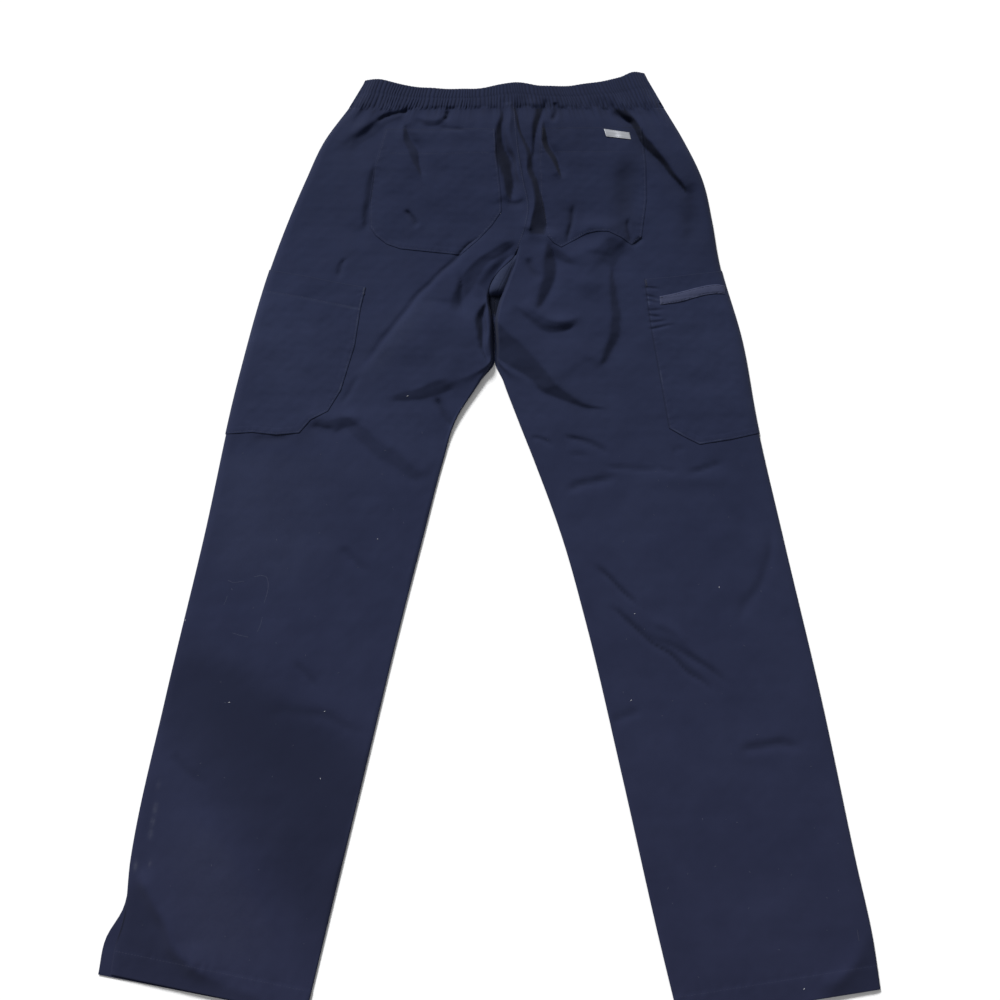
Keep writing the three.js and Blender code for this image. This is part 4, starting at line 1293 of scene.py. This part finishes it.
def pocket_tone(pocket, x, y):
    """Painted shade along the opening of a pocket, and on a cargo pocket along its stitched edge too,
    with light worn lengths beside that edge and along the hem row
    """
    edge, opening, _ = pocket.edge_distances(x, y)
    if not pocket.wraps:
        return -0.3 * bell(opening, 1.5)
    patchy = smooth(0.2 + 1.1 * ripples(x, y, 26, 43))
    tone = 0.34 * patchy * bell(edge - 1.9, 0.8)
    tone += 0.26 * bell(opening - pocket.hem, 1.2) * lerp(0.3, 1, smooth((34 - edge) / 22))
    # Painted shade along the stitched edge and the opening
    return tone - 0.5 * bell(edge, 0.8) - 0.34 * bell(opening, 1.2)


def fine_ends(share):
    return np.interp(share, [0, 0.12, 0.88, 1], [0, 0.055, 0.945, 1])


def back_pocket_place(pocket):
    def place(share, down):
        x, y = pocket.place(fine_ends(share), fine_ends(down))
        return x, y, pocket.top(x, y), back_tone(pocket.leg, x, y) + pocket_tone(pocket, x, y)
    return place


def cargo_pocket_place(pocket):
    """The pocket goes on round the outseam and back under the front"""
    leg = pocket.leg

    def place(share, down):
        lower = fine_ends(down)
        from_outside = share if leg.inward > 0 else 1 - share
        on_back = from_outside >= WRAP_SHARE
        across = np.clip((from_outside - WRAP_SHARE) / (1 - WRAP_SHARE), 0, 1)
        across = np.interp(across, [0, 0.1, 0.88, 1], [0, 0.05, 0.945, 1])
        x, y = pocket.place(across if leg.inward > 0 else 1 - across, lower)
        edge_x = leg.outer(y)
        x = np.where(across <= 0, edge_x, x)
        x = np.where(leg.inward * (x - edge_x) < 0, edge_x, x)
        z = pocket.top(x, y)
        under = np.clip((WRAP_SHARE - from_outside) / WRAP_SHARE, 0, 1)
        turn = np.clip(under / WRAP_TURN_SHARE, 0, 1) * math.pi
        flat = np.clip((under - WRAP_TURN_SHARE) / (1 - WRAP_TURN_SHARE), 0, 1)
        wrapped_x = edge_x - leg.inward * TURN_RADIUS * np.sin(turn) + leg.inward * POCKET_UNDER * flat
        wrapped_z = lerp(z, UNDER_HEIGHT, (1 - np.cos(turn)) / 2)
        tone = np.where(on_back, back_tone(leg, x, y) + pocket_tone(pocket, x, y), 0)
        return np.where(on_back, x, wrapped_x), y, np.where(on_back, z, wrapped_z), tone
    return place


pockets = {}
for name in POCKETS:
    leg = left_leg if name.endswith("left") else right_leg
    pocket = Pocket(name, leg)
    pockets[name] = pocket
    place = cargo_pocket_place(pocket) if pocket.wraps else back_pocket_place(pocket)
    columns = CARGO_POCKET_COLUMNS if pocket.wraps else BACK_POCKET_COLUMNS
    add_sheet(name, f"{name}_patch", columns, POCKET_ROWS, place, POCKET_WALL, cloth)

# Tape over the right cargo pocket and the bare tag over the right back pocket: upper and lower edges
TAPE_EDGES = (
    Way([(193.5, 224.5), (208, 227.7), (224, 232), (240.5, 236.6), (252, 239), (262, 239.5), (269, 238)]),
    Way([(193.5, 214), (216, 217.3), (233, 222.4), (247, 226.3), (262, 227.8), (269, 227.6)]),
)
TAG_EDGES = (Way([(135.9, 446), (166.7, 440.9)]), Way([(138.3, 435.3), (168.5, 431.2)]))


def trim_place(edges, surface, crown, rib):
    upper, lower = edges

    def place(share, down):
        upper_x, upper_y, _ = upper.at(share * upper.length)
        lower_x, lower_y, _ = lower.at(share * lower.length)
        x = lerp(upper_x, lower_x, down)
        y = lerp(upper_y, lower_y, down)
        across = np.minimum(down, 1 - down)
        along = np.minimum(share, 1 - share)
        lift = 0.15 + 0.6 * rounded(across / 0.08) * rounded(along / 0.03)
        lift += crown * np.sin(math.pi * down) * np.sin(math.pi * share) ** 0.5
        lift -= 0.25 * bell(across - 0.14, 0.05)
        lift += rib * np.sin(share * 90) * bell(across - 0.14, 0.1)
        return x, y, surface(x, y) + lift, np.zeros_like(x)
    return place


tape_surface = pockets["cargo_pocket_right"].top
tag_surface = pockets["back_pocket_right"].top
tape_place = trim_place(TAPE_EDGES, tape_surface, 0.35, 0.06)
tag_place = trim_place(TAG_EDGES, tag_surface, 0.2, 0.03)
add_sheet("cargo_tape_right", "cargo_tape", 120, 22, tape_place, 0.5, tape_cloth)
add_sheet("pocket_tag", "bare_tag", 64, 24, tag_place, 0.4, tag_satin)

# Stitches: short round-ended lengths of thread that lie half sunk in the cloth
STITCH_PITCH = 3.1
STITCH_LENGTH = 2.3
STITCH_WIDTH = 0.5
STITCH_SINK = 0.08
POCKET_STITCH_WIDTH = 0.38
SPECKS = 46


class Stitches:
    """All the stitches of one piece in one mesh"""

    def __init__(self, name, surface, material=thread, above=0.0):
        self.name = name
        self.surface = surface
        self.material = material
        self.above = above
        self.work = bmesh.new()

    def add(self, x, y, headings, length, width):
        """One stitch at each point, along its heading"""
        reach = 0.4 * length
        ends = []
        for sign in (-1, 1):
            end_x = x + sign * reach * headings[:, 0]
            end_y = y + sign * reach * headings[:, 1]
            end_z = self.surface(end_x, end_y) + self.above - STITCH_SINK
            ends.append(np.stack(lifted(end_x, end_y, end_z), axis=1))
        for start, end in zip(*ends):
            along = Vector((end - start).tolist())
            middle = Vector(((start + end) / 2).tolist())
            turn = along.to_track_quat("X", "Z").to_matrix().to_4x4()
            size = Matrix.Diagonal((length / 2, width / 2, width / 2, 1))
            lean = Matrix.Rotation(math.pi / 2, 4, "Y")
            matrix = Matrix.Scale(MM, 4) @ Matrix.Translation(middle) @ turn @ size @ lean
            bmesh.ops.create_uvsphere(self.work, u_segments=6, v_segments=5, radius=1, matrix=matrix)

    def row(self, way, inset=0.0, start=0.0, end=None, pitch=STITCH_PITCH, length=STITCH_LENGTH,
            width=STITCH_WIDTH):
        last = way.length if end is None else end
        count = max(2, int((last - start) / pitch))
        along = start + (np.arange(count) + 0.5) * (last - start) / count
        x, y, headings = way.at(along, inset)
        self.add(x, y, headings, length, width)
        return self

    def fibre(self, x, y, turn, length, width):
        """One lone fibre, turned by an angle from +X"""
        heading = [math.cos(turn), math.sin(turn)]
        self.add(np.array([x]), np.array([y]), np.array([heading]), length, width)

    def tack(self, start, end, width=2.6, pitch=0.55):
        """A bar tack: close stitches set across a short line"""
        way = Way([start, end], bend=1)
        along = np.arange(pitch / 2, way.length, pitch)
        x, y, headings = way.at(along)
        across = np.stack([-headings[:, 1], headings[:, 0]], axis=1)
        self.add(x, y, across, width, pitch)
        return self

    def finished(self):
        mesh = bpy.data.meshes.new(self.name)
        self.work.to_mesh(mesh)
        self.work.free()
        return add_piece(self.name, mesh, self.material)


for name, pocket in pockets.items():
    rows = Stitches(f"{name}_stitches", pocket.top)
    inside = -1 if pocket.wraps and pocket.leg is left_leg else 1
    rows.row(pocket.stitched, inside * EDGE_STITCHES, width=POCKET_STITCH_WIDTH)
    top_edge = pocket.top_edge
    rows.row(top_edge, TOP_STITCHES - pocket.hem, 6, top_edge.length - 6, width=POCKET_STITCH_WIDTH)
    corner_x, corner_y = pocket.stitched.line[0]
    if pocket.wraps:
        rows.tack((corner_x + inside * 1.5, corner_y - 1), (corner_x + inside * 2.5, corner_y - 9))
    rows.finished()


for leg in (left_leg, right_leg):
    rows = Stitches(f"hem_stitches_{leg.side}", leg.surface)
    x, y = leg.place(np.linspace(0.012, 0.988, 20), 1.0)
    rows.row(Way(list(zip(x, y + HEM_STITCHES)), bend=1), width=0.36)
    rows.finished()

centre = Stitches("centre_seam_stitches", left_leg.surface)
centre_points = [(x - 1.8, y) for y, x in CENTRE_SEAM if y < 478]
centre.row(Way([(27.4, 477)] + centre_points, bend=4))
centre.finished()

tape_stitches = Stitches("tape_stitches", tape_surface, above=0.7)
tape_stitches.tack((196, 215.6), (196, 223.6), 3.2).tack((266.5, 229), (266.5, 237), 3.2)
for edge, inset in zip(TAPE_EDGES, (-1.5, 1.5)):
    tape_stitches.row(edge, inset, 5, edge.length - 5)
tape_stitches.finished()

tag_stitches = Stitches("tag_stitches", tag_surface, above=0.6)
for end in ([(139.6, 436.6), (137.8, 444.2)], [(166.4, 432.8), (164.9, 439.8)]):
    tag_stitches.row(Way(end, bend=1), pitch=2.2, length=1.6)
tag_stitches.finished()

vent_tacks = Stitches("vent_tacks", right_leg.surface)
vent_tacks.tack((355.6, -446), (356.4, -456), 1.5)
vent_tacks.finished()

# A loose thread on the left shin, in a few lengths
LOOSE_THREAD = [
    [(-249, -101), (-242, -99.5), (-236.5, -101), (-234, -106.5), (-234, -117), (-237, -129)],
    [(-237.5, -143.5), (-239.5, -153), (-242, -159)],
    [(-268, -160), (-260, -162.5), (-251, -164.5)],
    [(-276.5, -104.5), (-272, -106.5), (-259.5, -105.5)],
    [(-276, -121), (-277, -126), (-279, -131)],
]
loose = Stitches("loose_thread", left_leg.surface, faint_fluff)
for points in LOOSE_THREAD:
    loose.row(Way(points), pitch=1.5, length=2.0, width=0.34)
loose.finished()

# Faint specks that cling to the legs
for leg, seed in ((left_leg, 71), (right_leg, 72)):
    specks = Stitches(f"specks_{leg.side}", leg.surface, faint_fluff, above=0.12)
    draw = np.random.default_rng(seed)
    speck_x, speck_y = leg.place(draw.uniform(0.06, 0.94, SPECKS), draw.uniform(0.42, 0.97, SPECKS))
    turns = draw.uniform(0, math.pi, SPECKS)
    lengths = draw.uniform(0.7, 2.4, SPECKS)
    for row in zip(speck_x, speck_y, turns, lengths):
        specks.fibre(*row, 0.36)
    specks.finished()

# Lint, as (x, y, length, heading in degrees)
LINT_SPECKS = [
    (-92, 103, 2.2, 20), (-318, -147, 1.8, 70), (-266, -231, 2.0, 10), (-168, -240, 1.6, 50),
    (-169, -306, 1.7, 100), (145, -229, 2.0, 30), (242, -112, 1.8, 80), (300, -498, 1.8, 45),
    (152, -140, 1.2, 0), (-120, -60, 1.2, 60), (210, 120, 1.1, 120), (-60, 380, 1.2, 15),
]
for leg in (left_leg, right_leg):
    lint = Stitches(f"lint_{leg.side}", leg.surface, lint_fluff, above=0.25)
    for at_x, at_y, length, heading in LINT_SPECKS:
        if (at_x < SEAM_MIDDLE_X) == (leg is left_leg):
            lint.fibre(at_x, at_y, math.radians(heading), length, 0.5)
    lint.finished()
